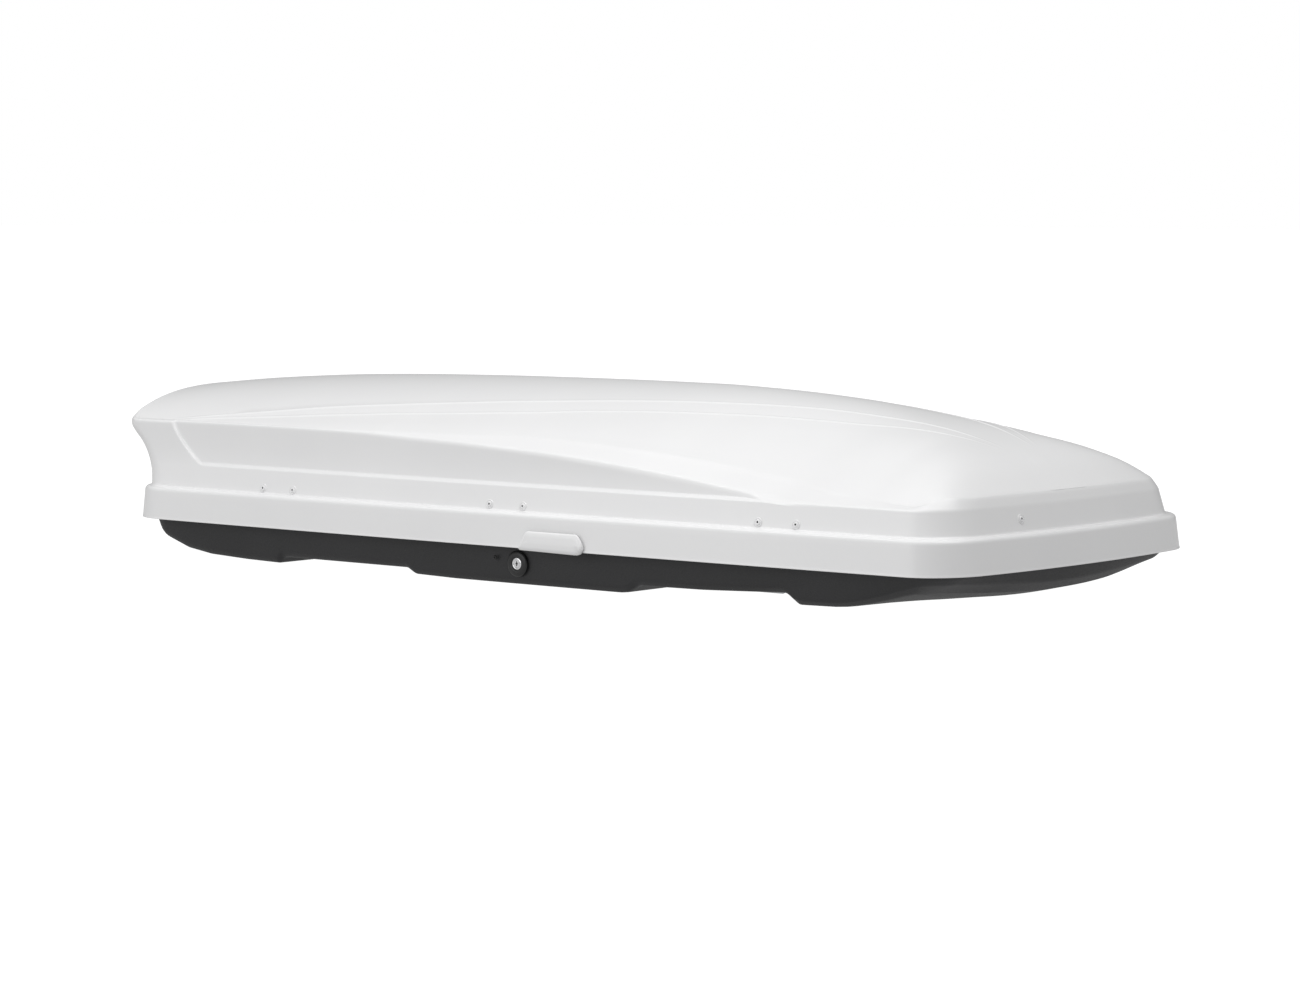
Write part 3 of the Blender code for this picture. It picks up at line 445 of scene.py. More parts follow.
def grid_mesh(name, columns):
    """A mesh over equal columns of points, welded where they meet."""
    points = np.array([[tuple(p) for p in column] for column in columns], float)
    count, rows = points.shape[:2]
    index = np.arange(count * rows).reshape(count, rows)
    faces = np.stack([index[:-1, :-1], index[1:, :-1], index[1:, 1:], index[:-1, 1:]], -1).reshape(-1, 4)
    mesh = bpy.data.meshes.new(name)
    mesh.from_pydata(points.reshape(-1, 3).tolist(), [], faces.tolist())
    shape = bmesh.new()
    shape.from_mesh(mesh)
    bpy.data.meshes.remove(mesh)
    bmesh.ops.remove_doubles(shape, verts=shape.verts, dist=0.00002)
    return as_mesh(shape, name)


def new_piece(name, mesh, body, finish, slot, *nodes):
    """Link a mesh as a piece that rides on a body, with its finish, and stands for CAD nodes."""
    piece = bpy.data.objects.new(name, mesh)
    bpy.context.scene.collection.objects.link(piece)
    piece.data.materials.append(finish)
    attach(piece, body)
    if nodes:
        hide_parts(*nodes)
    return piece


def bake(piece):
    """Replace a piece's mesh with its evaluated mesh and drop the modifiers."""
    bpy.context.view_layer.update()
    graph = bpy.context.evaluated_depsgraph_get()
    mesh = bpy.data.meshes.new_from_object(piece.evaluated_get(graph))
    piece.modifiers.clear()
    piece.data = mesh


def soften(mesh, angle=35):
    """Smooth shading, with edges above the angle kept sharp."""
    mesh.shade_smooth()
    mesh.set_sharp_from_angle(angle=radians(angle))


def shell(part, columns, thickness, slot, sharp):
    """A thin mirrored shell over the near half's columns, for the lid or the tray."""
    name = part + "_cover"
    piece = new_piece(name, grid_mesh(name, columns), part, FINISH[slot], slot, part + "_shell")
    mirror = piece.modifiers.new("mirror", "MIRROR")
    mirror.use_axis = (False, True, False)
    mirror.use_clip = True
    mirror.merge_threshold = 0.0001
    solid = piece.modifiers.new("wall", "SOLIDIFY")
    solid.thickness = thickness
    solid.offset = -1
    bake(piece)
    soften(piece.data, sharp)
    return piece


# ---------------------------------------------------------------- materials

def nodes_of(name):
    """A new material with its node tree and its main shader."""
    finish = bpy.data.materials.new(name)
    finish.use_nodes = True
    tree = finish.node_tree
    return finish, tree, tree.nodes["Principled BSDF"]


def noise(tree, scale, detail):
    """Noise over the object's own coordinates."""
    place = tree.nodes.new("ShaderNodeTexCoord")
    texture = tree.nodes.new("ShaderNodeTexNoise")
    texture.inputs["Scale"].default_value = scale
    texture.inputs["Detail"].default_value = detail
    tree.links.new(place.outputs["Object"], texture.inputs["Vector"])
    return texture


def ramp(tree, source, low, high, start=0.0, end=1.0):
    """A value that runs from low to high as the source runs from start to end."""
    node = tree.nodes.new("ShaderNodeMapRange")
    node.inputs["From Min"].default_value = start
    node.inputs["From Max"].default_value = end
    node.inputs["To Min"].default_value = low
    node.inputs["To Max"].default_value = high
    tree.links.new(source, node.inputs["Value"])
    return node.outputs["Result"]


def mixed(tree, factor, first, second):
    """A colour between two, by a factor."""
    node = tree.nodes.new("ShaderNodeMix")
    node.data_type = "RGBA"
    node.inputs["A"].default_value = (*first, 1)
    node.inputs["B"].default_value = (*second, 1)
    tree.links.new(factor, node.inputs["Factor"])
    return node.outputs["Result"]


def bump(tree, shader, source, strength, distance):
    """Add a bump to a shader, on top of any that it has."""
    node = tree.nodes.new("ShaderNodeBump")
    node.inputs["Strength"].default_value = strength
    node.inputs["Distance"].default_value = distance
    tree.links.new(source, node.inputs["Height"])
    previous = shader.inputs["Normal"].links
    if previous:
        tree.links.new(previous[0].from_socket, node.inputs["Normal"])
    tree.links.new(node.outputs["Normal"], shader.inputs["Normal"])


def moulded(name, dark, light, rough, grain_scale, grain, coat=0.0):
    """Moulded plastic: a fine grain and faint cloudy changes of colour."""
    finish, tree, shader = nodes_of(name)
    clouds = noise(tree, 5.0, 3.0)
    tree.links.new(mixed(tree, clouds.outputs["Fac"], dark, light), shader.inputs["Base Color"])
    shader.inputs["Roughness"].default_value = rough
    fine = noise(tree, grain_scale, 3.0)
    bump(tree, shader, fine.outputs["Fac"], 0.2, grain)
    shader.inputs["Coat Weight"].default_value = coat
    shader.inputs["Coat Roughness"].default_value = 0.18
    return finish


def pebbled(name, dark, light, rough, cell_scale, depth):
    """Black textured plastic: small rounded pebbles with finer grain between them."""
    finish, tree, shader = nodes_of(name)
    place = tree.nodes.new("ShaderNodeTexCoord")
    cells = tree.nodes.new("ShaderNodeTexVoronoi")
    cells.feature = "SMOOTH_F1"
    cells.inputs["Scale"].default_value = cell_scale
    cells.inputs["Smoothness"].default_value = 0.6
    tree.links.new(place.outputs["Object"], cells.inputs["Vector"])
    clouds = noise(tree, 7.0, 3.0)
    tree.links.new(mixed(tree, clouds.outputs["Fac"], dark, light), shader.inputs["Base Color"])
    gloss = ramp(tree, cells.outputs["Distance"], rough * 0.85, rough * 1.2)
    tree.links.new(gloss, shader.inputs["Roughness"])
    bump(tree, shader, noise(tree, cell_scale * 3.1, 2.0).outputs["Fac"], 0.25, depth * 0.5)
    bump(tree, shader, cells.outputs["Distance"], 0.6, -depth)
    return finish


def metal(name, dark, light, rough, stretch, grain):
    """Metal with fine drawn lines: stretch holds the noise scale along each axis."""
    finish, tree, shader = nodes_of(name)
    shader.inputs["Metallic"].default_value = 1.0
    place = tree.nodes.new("ShaderNodeTexCoord")
    turn = tree.nodes.new("ShaderNodeMapping")
    turn.inputs["Scale"].default_value = stretch
    tree.links.new(place.outputs["Object"], turn.inputs["Vector"])
    lines = tree.nodes.new("ShaderNodeTexNoise")
    lines.inputs["Scale"].default_value = 1.0
    lines.inputs["Detail"].default_value = 3.0
    tree.links.new(turn.outputs["Vector"], lines.inputs["Vector"])
    tree.links.new(mixed(tree, lines.outputs["Fac"], dark, light), shader.inputs["Base Color"])
    tree.links.new(ramp(tree, lines.outputs["Fac"], rough * 0.75, rough * 1.3), shader.inputs["Roughness"])
    bump(tree, shader, lines.outputs["Fac"], 0.3, grain)
    return finish


def make_finishes():
    """The materials by name; all but rivet_white and black_trim are named as the slot they dress."""
    white = (0.80, 0.80, 0.805), (0.84, 0.84, 0.843)
    even = (900.0, 900.0, 900.0)
    drawn = (25.0, 1400.0, 1400.0)
    blotched = (260.0, 260.0, 260.0)
    return {
        "lid_white": moulded("white_abs", *white, 0.26, 1400.0, 0.00002),
        "tray_black": pebbled("black_abs", (0.016, 0.016, 0.017), (0.024, 0.024, 0.026),
                              0.50, 420.0, 0.00035),
        "rivet_white": moulded("rivet_paint", *white, 0.25, 1400.0, 0.00002, 0.4),
        "black_trim": moulded("black_trim", (0.012, 0.012, 0.012), (0.02, 0.02, 0.021),
                              0.35, 1500.0, 0.00004),
        "chrome": metal("chrome", (0.80, 0.80, 0.81), (0.90, 0.90, 0.91), 0.12, even, 0.000005),
        "aluminium": metal("aluminium", (0.55, 0.56, 0.57), (0.72, 0.73, 0.74), 0.34, drawn, 0.00002),
        "steel": metal("zinc_steel", (0.50, 0.51, 0.53), (0.68, 0.69, 0.70), 0.28, blotched, 0.00002),
        "dark_steel": moulded("coated_steel", (0.028, 0.028, 0.03), (0.045, 0.045, 0.048),
                              0.38, 900.0, 0.00008),
        "strut_black": moulded("strut_paint", (0.012, 0.012, 0.013), (0.02, 0.02, 0.021),
                               0.2, 1500.0, 0.00002, 0.5),
        "knob_red": moulded("red_nylon", (0.42, 0.012, 0.012), (0.55, 0.02, 0.018),
                            0.42, 1000.0, 0.00006),
    }


# ---------------------------------------------------------------- the shells

def make_lid():
    """The lid's shell, with its deck, facets, ridge, panels, strip, shoulder and skirt in one sheet."""
    shell("lid", [lid_column(place) for place in lid_places()], LID_WALL, "lid_white", 50)


def floor_line(x):
    """Height of the floor's underside on the centre line, with its folds rounded."""
    return sum(straight(FLOOR, x + FLOOR_FOLD * way) for way in (-1.0, -0.5, 0.0, 0.5, 1.0)) / 5


def tray_floor(x, y):
    """Height of the floor's underside, which curves up towards its sides below the nose."""
    x = min(max(x, FLOOR[0][0]), FLOOR[-1][0])
    share = gentle((x - HULL_START) / (HULL_END - HULL_START))
    return floor_line(x) + HULL_RISE * share * (y / HULL_HALF) ** 2


def tray_point(place, side, nose, rear, rise=0.0):
    """A point above the floor's height at insets from the tray's wall."""
    x, y = plan(place, TRAY_INSET + side, TRAY_INSET + nose, TRAY_INSET + rear, 1.0)
    return Vector((x, y, tray_floor(x, y) + rise))


def tray_column(place):
    """The tray's outer points from the centre line out along the floor and up the wall to the rim."""
    cut = max(0.0, 1.0 - ((place - 3.6) / 0.8) ** 2)      # share by which the nose corner is cut back
    rise = 0.010 - 0.0045 * cut + 0.004 * gentle(place - 2.9) * (1 - cut)
    rim = Vector((*plan(place, TRAY_INSET, TRAY_INSET, TRAY_INSET, 1.0), TRAY_TOP))
    waist = Vector((*plan(place, TRAY_INSET + 0.002, TRAY_INSET + 0.002, TRAY_INSET + 0.003, 1.0), WAIST_Z))
    chine = tray_point(place, 0.004 + 0.012 * cut, 0.014 + 0.004 * cut, 0.006, rise)
    side, nose, rear = FLAT_INSETS
    flat = tray_point(place, side + 0.030 * cut, nose + 0.020 * cut, rear)
    wall, under = (chine - waist).length, (flat - chine).length

    def on_floor(share):
        return Vector((flat.x, flat.y * share, tray_floor(flat.x, flat.y * share)))

    column = [rim.lerp(waist, share) for share in (0.0, 0.3, 0.6)]
    column += fillet(rim, waist, chine, 5, 0.010, min(0.010, 0.4 * wall))
    column += [waist.lerp(chine, share) for share in (0.5, 0.65)]
    column += fillet(waist, chine, flat, 7, min(0.005, 0.3 * wall), min(0.005, 0.4 * under))
    column += fillet(chine, flat, on_floor(0.97), 6, min(0.006, 0.45 * under), 0.006)
    column += [on_floor(share) for share in np.linspace(0.90, 0.0, 14)]
    return column[::-1]


def tray_places():
    """Places of the tray's columns: a few on each side of every fold of the floor."""
    start, end = tray_point(2, *FLAT_INSETS).x, tray_point(3, *FLAT_INSETS).x
    spots = set(np.round(np.linspace(start, end, 80), 5))
    for x, _ in FLOOR:
        spots |= {round(x + way, 5) for way in (-0.006, -0.004, -0.002, 0.0, 0.002, 0.004, 0.006)}
    inside = sorted(x for x in spots if start + 0.0005 < x < end - 0.0005)
    side = [2 + (x - start) / (end - start) for x in inside]
    steps = 16
    ends = [i / steps for i in range(2 * steps + 1)]
    return ends + side + [3 + end for end in ends]


def drill(start, axis, radius, half, steps):
    """A round tool for a hole."""
    return turned([(0.0, -half), (radius, -half), (radius, half), (0.0, half)], start, axis, steps)


def make_tray():
    """The tray, with holes for the lock and for the legs of the U-bolts."""
    piece = shell("tray", [tray_column(place) for place in tray_places()], TRAY_WALL, "tray_black", 35)
    drills = [drill(middle("lock_barrel"), (0, -1, 0), LOCK_HOLE, 0.02, 48)]
    for name in CLAMPS:
        bolt = middle("u_bolt_" + name)
        for leg in (-BOLT_HALF, BOLT_HALF):
            drills.append(drill((bolt.x + leg, bolt.y, 0.02), (0, 0, 1), BOLT_HOLE, 0.03, 24))
    carve(piece, drills)
    piece.data.set_sharp_from_angle(angle=radians(35))


# ---------------------------------------------------------------- fittings

def middle(node):
    """The middle of a CAD node's box."""
    low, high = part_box(node)
    return (low + high) / 2


def bridge(shape, rings):
    """Faces between rings of vertices, where a ring of one vertex is a pole."""
    for low, top in zip(rings, rings[1:]):
        for i in range(max(len(low), len(top))):
            sides = [low[i % len(low)], low[(i + 1) % len(low)], top[(i + 1) % len(top)], top[i % len(top)]]
            shape.faces.new(list(dict.fromkeys(sides)))


def turned(profile, start, axis, steps):
    """A closed mesh of revolution; its (radius, height) points begin and end on the axis or meet."""
    shape = bmesh.new()
    turn = Vector((0, 0, 1)).rotation_difference(Vector(axis).normalized()).to_matrix()
    start = Vector(start)
    rings = []
    for radius, high in profile:
        if radius == 0:
            rings.append([shape.verts.new(start + turn @ Vector((0, 0, high)))])
            continue
        ring = [Vector((radius * cos(2 * pi * i / steps), radius * sin(2 * pi * i / steps), high))
                for i in range(steps)]
        rings.append([shape.verts.new(start + turn @ point) for point in ring])
    bridge(shape, rings)
    bmesh.ops.recalc_face_normals(shape, faces=shape.faces)
    return as_mesh(shape, "turned")


def merged(*meshes):
    """One mesh from several that stay separate surfaces."""
    shape = bmesh.new()
    for mesh in meshes:
        shape.from_mesh(mesh)
    return as_mesh(shape, "merged")


def carve(piece, tools):
    """Cut the tools' meshes from a piece."""
    cutter = bpy.data.objects.new("cutter", merged(*tools))
    bpy.context.scene.collection.objects.link(cutter)
    change = piece.modifiers.new("cut", "BOOLEAN")
    change.operation = "DIFFERENCE"
    change.solver = "EXACT"
    change.object = cutter
    bake(piece)
    bpy.data.objects.remove(cutter)


def rounded(points, reach):
    """A closed outline with its corners rounded."""
    total = len(points)
    outline = []
    for i in range(total):
        outline += fillet(points[i - 1], points[i], points[(i + 1) % total], 6, reach, reach)
    return outline


def pillow(outline, depth, edge):
    """A cushion that stands out towards -Y from a closed outline in the XZ plane; edge is the width
    of its round border."""
    shape = bmesh.new()
    centre = sum(outline, Vector()) / len(outline)
    half_x = max(abs(p.x - centre.x) for p in outline)
    half_z = max(abs(p.z - centre.z) for p in outline)
    levels = [(edge * (1 - cos(a)), depth * 0.94 * sin(a)) for a in np.linspace(0, pi / 2, 9)]
    levels += [(edge + (half_z - edge) * share, depth * (0.94 + 0.06 * sin(share * pi / 2)))
               for share in (0.25, 0.5, 0.75, 0.93)]
    rings = []
    for inset, out in levels:
        scale_x, scale_z = 1 - inset / half_x, 1 - inset / half_z
        ring = [Vector((centre.x + (p.x - centre.x) * scale_x, p.y, centre.z + (p.z - centre.z) * scale_z))
                for p in outline]
        for point in ring:
            point.y -= out * (1 - GRIP_LEAN * (point.z - centre.z + half_z) / (2 * half_z))
        rings.append([shape.verts.new(point) for point in ring])
    bridge(shape, rings)
    shape.faces.new(rings[0])
    shape.faces.new(rings[-1][::-1])
    bmesh.ops.recalc_face_normals(shape, faces=shape.faces)
    return as_mesh(shape, "pillow")


def make_grip():
    """The moulded hand grip: a soft cushion with a sloping rear end."""
    low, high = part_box("lid_grip")
    end = high.x - 0.005
    points = [(low.x, low.z + 0.0055), (end - 0.010, low.z + 0.0035), (end, low.z + 0.010),
              (end, low.z + 0.022), (end - 0.013, high.z), (low.x + 0.018, high.z)]
    outline = rounded([Vector((x, high.y, z)) for x, z in points], 0.008)
    mesh = pillow(outline, high.y - low.y, 0.011)
    soften(mesh, 60)
    new_piece("grip", mesh, "lid", FINISH["lid_white"], "lid_white", "lid_grip")


def make_rivet(node, direction):
    """A domed pop rivet: a flat flange, a round crown and a blind hole whose walls and floor are painted
    dark, as painted shade over the mandrel's dark end.
    """
    profile = [(0.0, 0.0004), (0.0015, 0.0005), (0.0017, 0.0020), (0.0020, 0.0026), (0.0027, 0.0028),
               (0.0040, 0.0026), (0.0050, 0.0020), (0.0054, 0.0009), (0.0060, 0.0009), (0.0065, 0.0015),
               (0.0075, 0.0015), (0.0083, 0.0010), (0.0085, 0.0), (0.0, 0.0)]
    start = middle(node) - direction * 0.0013      # the flange's back, on the wall
    mesh = turned(profile, start, direction, 40)
    soften(mesh, 50)
    piece = new_piece("cap_" + node, mesh, "lid", FINISH["rivet_white"], "lid_white", node)
    # painted shade: the blind hole's walls and floor take the dark finish
    piece.data.materials.append(FINISH["dark_steel"])
    for face in piece.data.polygons:
        spot = face.center - start
        if spot.cross(direction).length < RIVET_SHADE_RADIUS and spot.dot(direction) > 0.0002:
            face.material_index = 1


def make_rivets():
    """The rivets stand square on the strip, which leans in and bows out along the box."""
    rise, run = RIDGE - STRIP, RIDGE_INSET - STRIP_INSET
    out, up = rise / sqrt(rise ** 2 + run ** 2), run / sqrt(rise ** 2 + run ** 2)
    for number in range(1, 7):
        node = "side_rivet_%d" % number
        turn = 2 * SIDE_BOW * (middle(node).x - BOW_X)
        make_rivet(node, Vector((turn * out, -out, up)).normalized())
    turn = 2 * NOSE_BOW * middle("nose_rivet").y / HALF_WIDTH ** 2
    make_rivet("nose_rivet", Vector((out, turn * out, up)).normalized())


def make_lock():
    """A chrome barrel with a turned face and a dark cross on it as painted shade of the key slot, in a
    black raised surround.
    """
    out = (0, -1, 0)
    centre = middle("lock_barrel")
    centre.y = side_y(centre.x, TRAY_INSET)      # on the tray's wall
    ring = [(0.0112, 0.0034), (0.0124, 0.0044), (0.0145, 0.0048), (0.0170, 0.0047), (0.0200, 0.0040),
            (0.0222, 0.0030), (0.0233, 0.0018), (0.0235, 0.0008), (0.0140, 0.0008), (0.0140, -0.0150),
            (0.0112, -0.0150), (0.0112, 0.0034)]
    mesh = turned(ring, centre, out, 96)
    soften(mesh)
    new_piece("lock_bezel", mesh, "tray", FINISH["black_trim"], "tray_black", "lock_surround")
    face = [(0.0, 0.0027), (0.0056, 0.0028), (0.0061, 0.0022), (0.0067, 0.0022), (0.0072, 0.0031),
            (0.0080, 0.0036), (0.0096, 0.0036), (0.0106, 0.0030), (0.0110, 0.0020), (0.0110, 0.0008),
            (0.0105, 0.0004), (0.0105, -0.0170), (0.0, -0.0170)]
    core = turned(face, centre, out, 96)
    soften(core)
    new_piece("lock_core", core, "lock", FINISH["chrome"], "chrome", "lock_barrel")
    front = centre - Vector((0, 0.00272, 0))      # the dark cross, painted shade of the key slot, stands a hair proud of the face
    # painted shade: black boxes stand for the shade in the key slot
    slot_shade = merged(box_mesh(front, (0.0011, 0.0002, 0.0044)), box_mesh(front, (0.0028, 0.0002, 0.0009)))
    new_piece("lock_slot_shade", slot_shade, "lock", FINISH["black_trim"], "tray_black")


def box_mesh(centre, half):
    """A box about a centre with half sizes along the axes."""
    shape = bmesh.new()
    place = Matrix.Translation(centre) @ Matrix.Diagonal((*half, 1))
    bmesh.ops.create_cube(shape, size=2.0, matrix=place)
    return as_mesh(shape, "box")


def make_screw():
    """A small black socket screw beside the lock."""
    start = middle("cover_screw")
    start.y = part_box("cover_screw")[1].y
    profile = [(0.0, 0.0004), (0.0016, 0.0004), (0.0018, 0.0018), (0.0026, 0.0021), (0.0036, 0.0016),
               (0.0042, 0.0008), (0.0042, 0.0), (0.0, 0.0)]
    mesh = turned(profile, start, (0, -1, 0), 40)
    soften(mesh)
    new_piece("screw_head", mesh, "tray", FINISH["black_trim"], "dark_steel", "cover_screw")


def eye(centre, radius, bore):
    """A short ring round the X axis."""
    half, edge = 0.0040, 0.0006
    profile = [(bore, -half), (radius - edge, -half), (radius, -half + edge), (radius, half - edge),
               (radius - edge, half), (bore, half), (bore, -half)]
    return turned(profile, centre, (1, 0, 0), 48)


def make_strut(end):
    """A gas strut: a painted cylinder with rounded shoulders and a polished rod, each with its eye."""
    x = middle(end + "_strut_cylinder").x
    foot, head = Vector((x, *TRAY_STUD)), Vector((x, *LID_STUD))
    line = (head - foot).normalized()
    reach = (head - foot).length
    tube = [(0.0, 0.0075), (0.0055, 0.0080), (0.0060, 0.0120), (0.0080, 0.0150), (0.0090, 0.0180),
            (0.0090, 0.2600), (0.0082, 0.2640), (0.0086, 0.2660), (0.0080, 0.2700), (0.0048, 0.2700),
            (0.0047, 0.2600), (0.0, 0.2600)]
    cylinder = merged(turned(tube, foot, line, 64), eye(foot, 0.0085, 0.00435))
    soften(cylinder)
    new_piece(end + "_gas_cylinder", cylinder, end + "_strut_tube", FINISH["strut_black"], "strut_black",
              end + "_strut_cylinder")
    shaft = [(0.0, 0.1500), (0.0040, 0.1500), (0.0040, reach - 0.0070), (0.0036, reach - 0.0064),
             (0.0, reach - 0.0064)]
    rod = merged(turned(shaft, foot, line, 48), eye(head, 0.0075, 0.0030))
    soften(rod)
    new_piece(end + "_gas_rod", rod, end + "_strut_piston", FINISH["chrome"], "chrome", end + "_strut_rod")


def make_bolt(name):
    """A square U-bolt of bent round bar with plain flat ends."""
    low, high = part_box("u_bolt_" + name)
    x, y = (low.x + high.x) / 2, (low.y + high.y) / 2
    bend, tip, floor = 0.008, 0.015, low.z + BOLT_RADIUS
    path = [(-BOLT_HALF, high.z), (-BOLT_HALF, high.z - tip)]
    for side, start in ((-1, 180), (1, 270)):
        for step in range(13):
            angle = radians(start + 7.5 * step)
            path.append((side * (BOLT_HALF - bend) + bend * cos(angle), floor + bend + bend * sin(angle)))
    path += [(BOLT_HALF, high.z - tip), (BOLT_HALF, high.z)]
    line = bpy.data.curves.new("bolt", "CURVE")
    line.dimensions = "3D"
    line.bevel_depth = BOLT_RADIUS
    line.bevel_resolution = 6
    line.use_fill_caps = True
    spline = line.splines.new("POLY")
    spline.points.add(len(path) - 1)
    for point, (u, v) in zip(spline.points, path):
        point.co = (x + u, y, v, 1)
    bar = bpy.data.objects.new("bolt", line)
    bpy.context.scene.collection.objects.link(bar)
    bpy.context.view_layer.update()
    mesh = bpy.data.meshes.new_from_object(bar.evaluated_get(bpy.context.evaluated_depsgraph_get()))
    bpy.data.objects.remove(bar)
    soften(mesh)
    new_piece("bent_bolt_" + name, mesh, "u_bolt_" + name, FINISH["steel"], "steel", "u_bolt_" + name)


def make_knob(node):
    """A five-lobed moulded knob with rounded edges, a plain hub and a through bore."""
    low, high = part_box(node)
    centre = (low + high) / 2
    tall = high.z - low.z
    count, lobe = 120, 0.09
    # Height, radius and share of the lobes' depth
    levels = [(0.0, KNOB_BORE, 0.0), (0.0, 0.0115, 0.0), (0.0005, 0.0120, 0.0), (0.0078, 0.0120, 0.0),
              (0.0080, KNOB_RADIUS - 0.0030, 0.5), (0.0086, KNOB_RADIUS - 0.0010, 0.9),
              (0.0102, KNOB_RADIUS, 1.0), (tall - 0.0024, KNOB_RADIUS, 1.0),
              (tall - 0.0008, KNOB_RADIUS - 0.0010, 0.9), (tall, KNOB_RADIUS - 0.0032, 0.6),
              (tall, 0.0110, 0.0), (tall - 0.0015, 0.0100, 0.0), (tall - 0.0015, KNOB_BORE, 0.0),
              (0.0, KNOB_BORE, 0.0)]
    shape = bmesh.new()
    rings = []
    for level, radius, lobes in levels:
        ring = []
        for angle in (2 * pi * i / count for i in range(count)):
            reach = radius * (1 - lobe * lobes + lobe * lobes * cos(5 * angle))
            spot = (centre.x + reach * cos(angle), centre.y + reach * sin(angle), low.z + level)
            ring.append(shape.verts.new(spot))
        rings.append(ring)
    bridge(shape, rings)
    bmesh.ops.remove_doubles(shape, verts=shape.verts, dist=0.00001)
    bmesh.ops.recalc_face_normals(shape, faces=shape.faces)
    mesh = as_mesh(shape, "knob")
    soften(mesh)
    new_piece("grip_" + node, mesh, node, FINISH["knob_red"], "knob_red", node)


def finish_frame_nodes():
    """Give the CAD nodes that stay in view their finishes and rounded edges."""
    slots = {row["node"]: row["material_slot"] for row in frame["record"]["subparts"]}
    for name, node in frame["nodes"].items():
        if node.hide_render:
            continue
        for slot in node.material_slots:
            slot.material = FINISH[slots[name]]
        weld = node.modifiers.new("weld", "WELD")
        weld.merge_threshold = 0.00001
        bevel = node.modifiers.new("edges", "BEVEL")
        bevel.width = EDGE_BEVEL
        bevel.segments = 2
        bevel.limit_method = "ANGLE"
        bevel.angle_limit = radians(40)


# ---------------------------------------------------------------- camera, lights and floor

def make_camera():
    """A long lens from the nose end of the opening side, just above the box."""
    data = bpy.data.cameras.new("camera")
    data.lens = CAMERA_LENS
    data.sensor_width = CAMERA_SENSOR
    camera = bpy.data.objects.new("camera", data)
    bpy.context.scene.collection.objects.link(camera)
    camera.location = CAMERA_PLACE
    camera.rotation_mode = "QUATERNION"
    camera.rotation_quaternion = (-Vector(CAMERA_BACK)).to_track_quat("-Z", "Y")
    bpy.context.scene.camera = camera


def area_light(name, place, size, power, target=(0, 0, 0.1)):
    """A rectangular softbox that faces its target."""
    data = bpy.data.lights.new(name, "AREA")
    data.shape = "RECTANGLE"
    data.size, data.size_y = size
    data.energy = power
    light = bpy.data.objects.new(name, data)
    bpy.context.scene.collection.objects.link(light)
    light.location = place
    light.rotation_mode = "QUATERNION"
    light.rotation_quaternion = (Vector(target) - Vector(place)).to_track_quat("-Z", "Y")


def scaled(tree, first, second):
    """One value times another."""
    node = tree.nodes.new("ShaderNodeMath")
    node.operation = "MULTIPLY"
    tree.links.new(first, node.inputs[0])
    tree.links.new(second, node.inputs[1])
    return node.outputs["Value"]


def along(tree, vector, direction):
    """Share of a direction vector that points along a fixed direction."""
    node = tree.nodes.new("ShaderNodeVectorMath")
    node.operation = "DOT_PRODUCT"
    node.inputs[1].default_value = direction
    tree.links.new(vector, node.inputs[0])
    return node.outputs["Value"]


def make_world():
    """White behind the object; as a light it is dim at the horizon, behind the box and at its nose."""
    world = bpy.data.worlds.new("studio")
    bpy.context.scene.world = world
    world.use_nodes = True
    tree = world.node_tree
    glow = tree.nodes["Background"]
    place = tree.nodes.new("ShaderNodeTexCoord").outputs["Generated"]
    sky = ramp(tree, along(tree, place, (0, 0, 1)), WORLD_LOW, WORLD_HIGH, 0.0, 0.8)
    behind = ramp(tree, along(tree, place, (-0.62, 0.76, -0.2)), 1.0, 0.35, 0.3, 1.0)
    nose = ramp(tree, along(tree, place, (1.0, 0.0, -0.25)), 1.0, 0.20, 0.35, 0.95)
    light = scaled(tree, scaled(tree, sky, behind), nose)
    path = tree.nodes.new("ShaderNodeLightPath")
    pick = tree.nodes.new("ShaderNodeMix")
    pick.data_type = "FLOAT"
    pick.inputs["B"].default_value = 1.0
    tree.links.new(path.outputs["Is Camera Ray"], pick.inputs["Factor"])
    tree.links.new(light, pick.inputs["A"])
    tree.links.new(pick.outputs["Result"], glow.inputs["Strength"])
    glow.inputs["Color"].default_value = (1, 1, 1, 1)


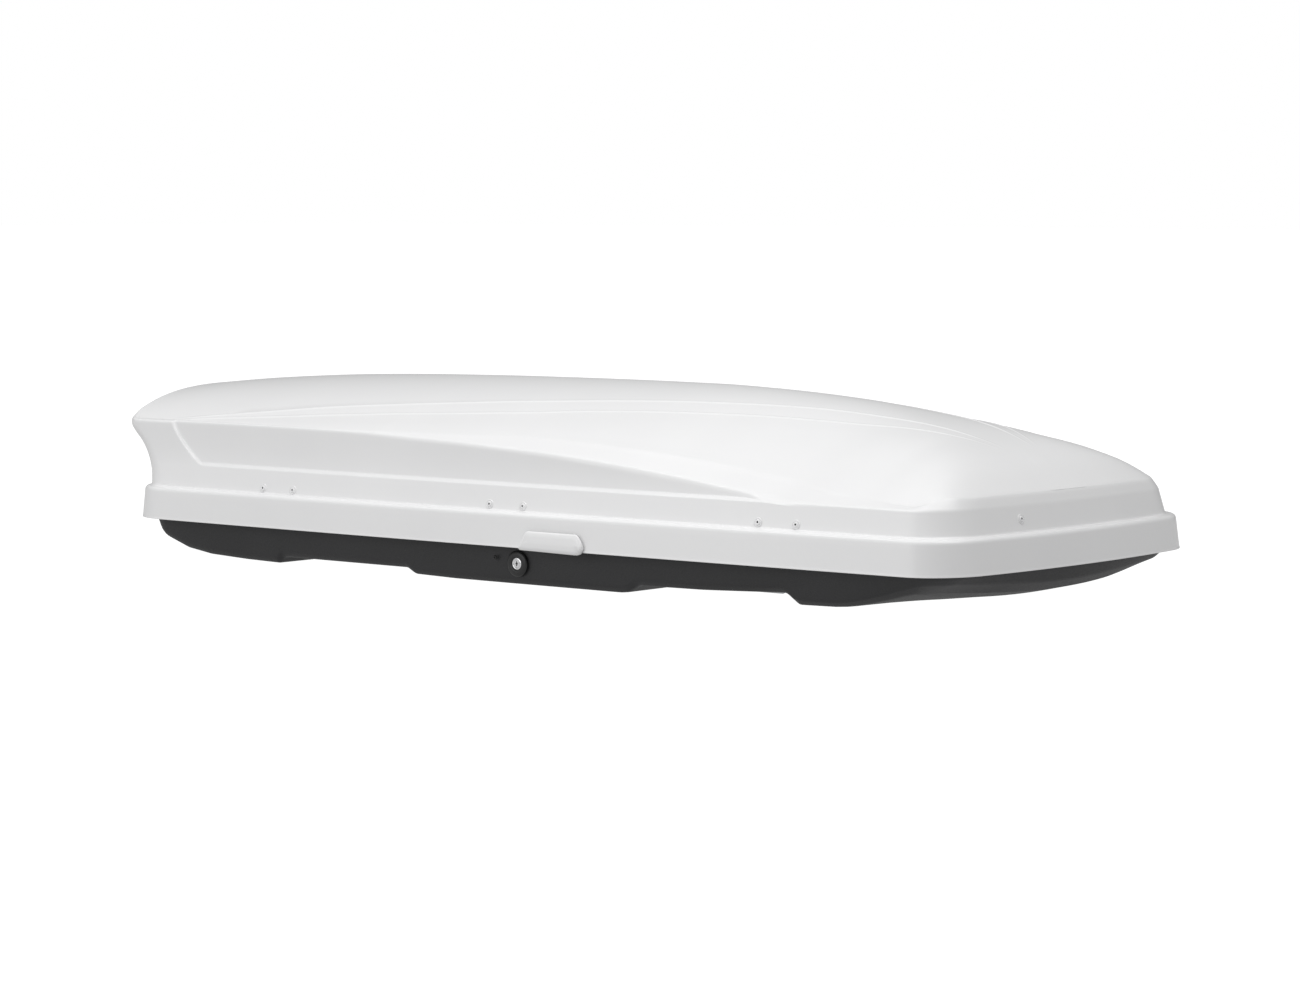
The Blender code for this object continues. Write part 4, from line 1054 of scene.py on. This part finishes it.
def make_floor():
    """A wide pale floor that glows so much that the camera sees it as the photo's plain white."""
    mesh = bpy.data.meshes.new("studio_floor")
    square = [(-1, -1), (1, -1), (1, 1), (-1, 1)]
    mesh.from_pydata([(FLOOR_HALF * u, FLOOR_HALF * v, 0) for u, v in square], [], [(0, 1, 2, 3)])
    floor = bpy.data.objects.new("studio_floor", mesh)
    bpy.context.scene.collection.objects.link(floor)
    floor.location.z = -FLOOR_DROP
    finish, tree, shader = nodes_of("floor_white")
    finish.cycles.emission_sampling = "NONE"
    shader.inputs["Base Color"].default_value = (0.90, 0.90, 0.90, 1)
    shader.inputs["Roughness"].default_value = 0.85
    shader.inputs["Specular IOR Level"].default_value = 0.0
    path = tree.nodes.new("ShaderNodeLightPath")
    shine = ramp(tree, path.outputs["Is Camera Ray"], FLOOR_GLOW, FLOOR_SEEN)
    white = tree.nodes.new("ShaderNodeEmission")
    tree.links.new(shine, white.inputs["Strength"])
    blend = tree.nodes.new("ShaderNodeMixShader")
    blend.inputs["Fac"].default_value = FLOOR_SHARE
    tree.links.new(shader.outputs["BSDF"], blend.inputs[1])
    tree.links.new(white.outputs["Emission"], blend.inputs[2])
    tree.links.new(blend.outputs["Shader"], tree.nodes["Material Output"].inputs["Surface"])
    mesh.materials.append(finish)


FINISH = make_finishes()
make_camera()
make_world()
make_floor()
area_light("overhead_softbox", (0.5, -0.5, 3.0), (5.0, 2.0), 35.0, (0.3, 0.0, 0.1))
area_light("front_softbox", (-0.3, -1.5, 2.3), (4.0, 0.6), 14.0)
area_light("nose_softbox", (2.6, -0.1, 3.4), (1.8, 2.6), 26.0, (0.9, 0.0, 0.15))
area_light("side_softbox", (-1.0, -4.5, 1.3), (4.2, 2.2), 30.0)
make_lid()
make_tray()
make_grip()
make_rivets()
make_lock()
make_screw()
for strut_end in ("rear", "nose"):
    make_strut(strut_end)
for clamp_name in CLAMPS:
    make_bolt(clamp_name)
    for tag in ("a", "b"):
        make_knob("clamp_knob_%s_%s" % (clamp_name, tag))
finish_frame_nodes()

bpy.context.scene.view_settings.view_transform = "Standard"
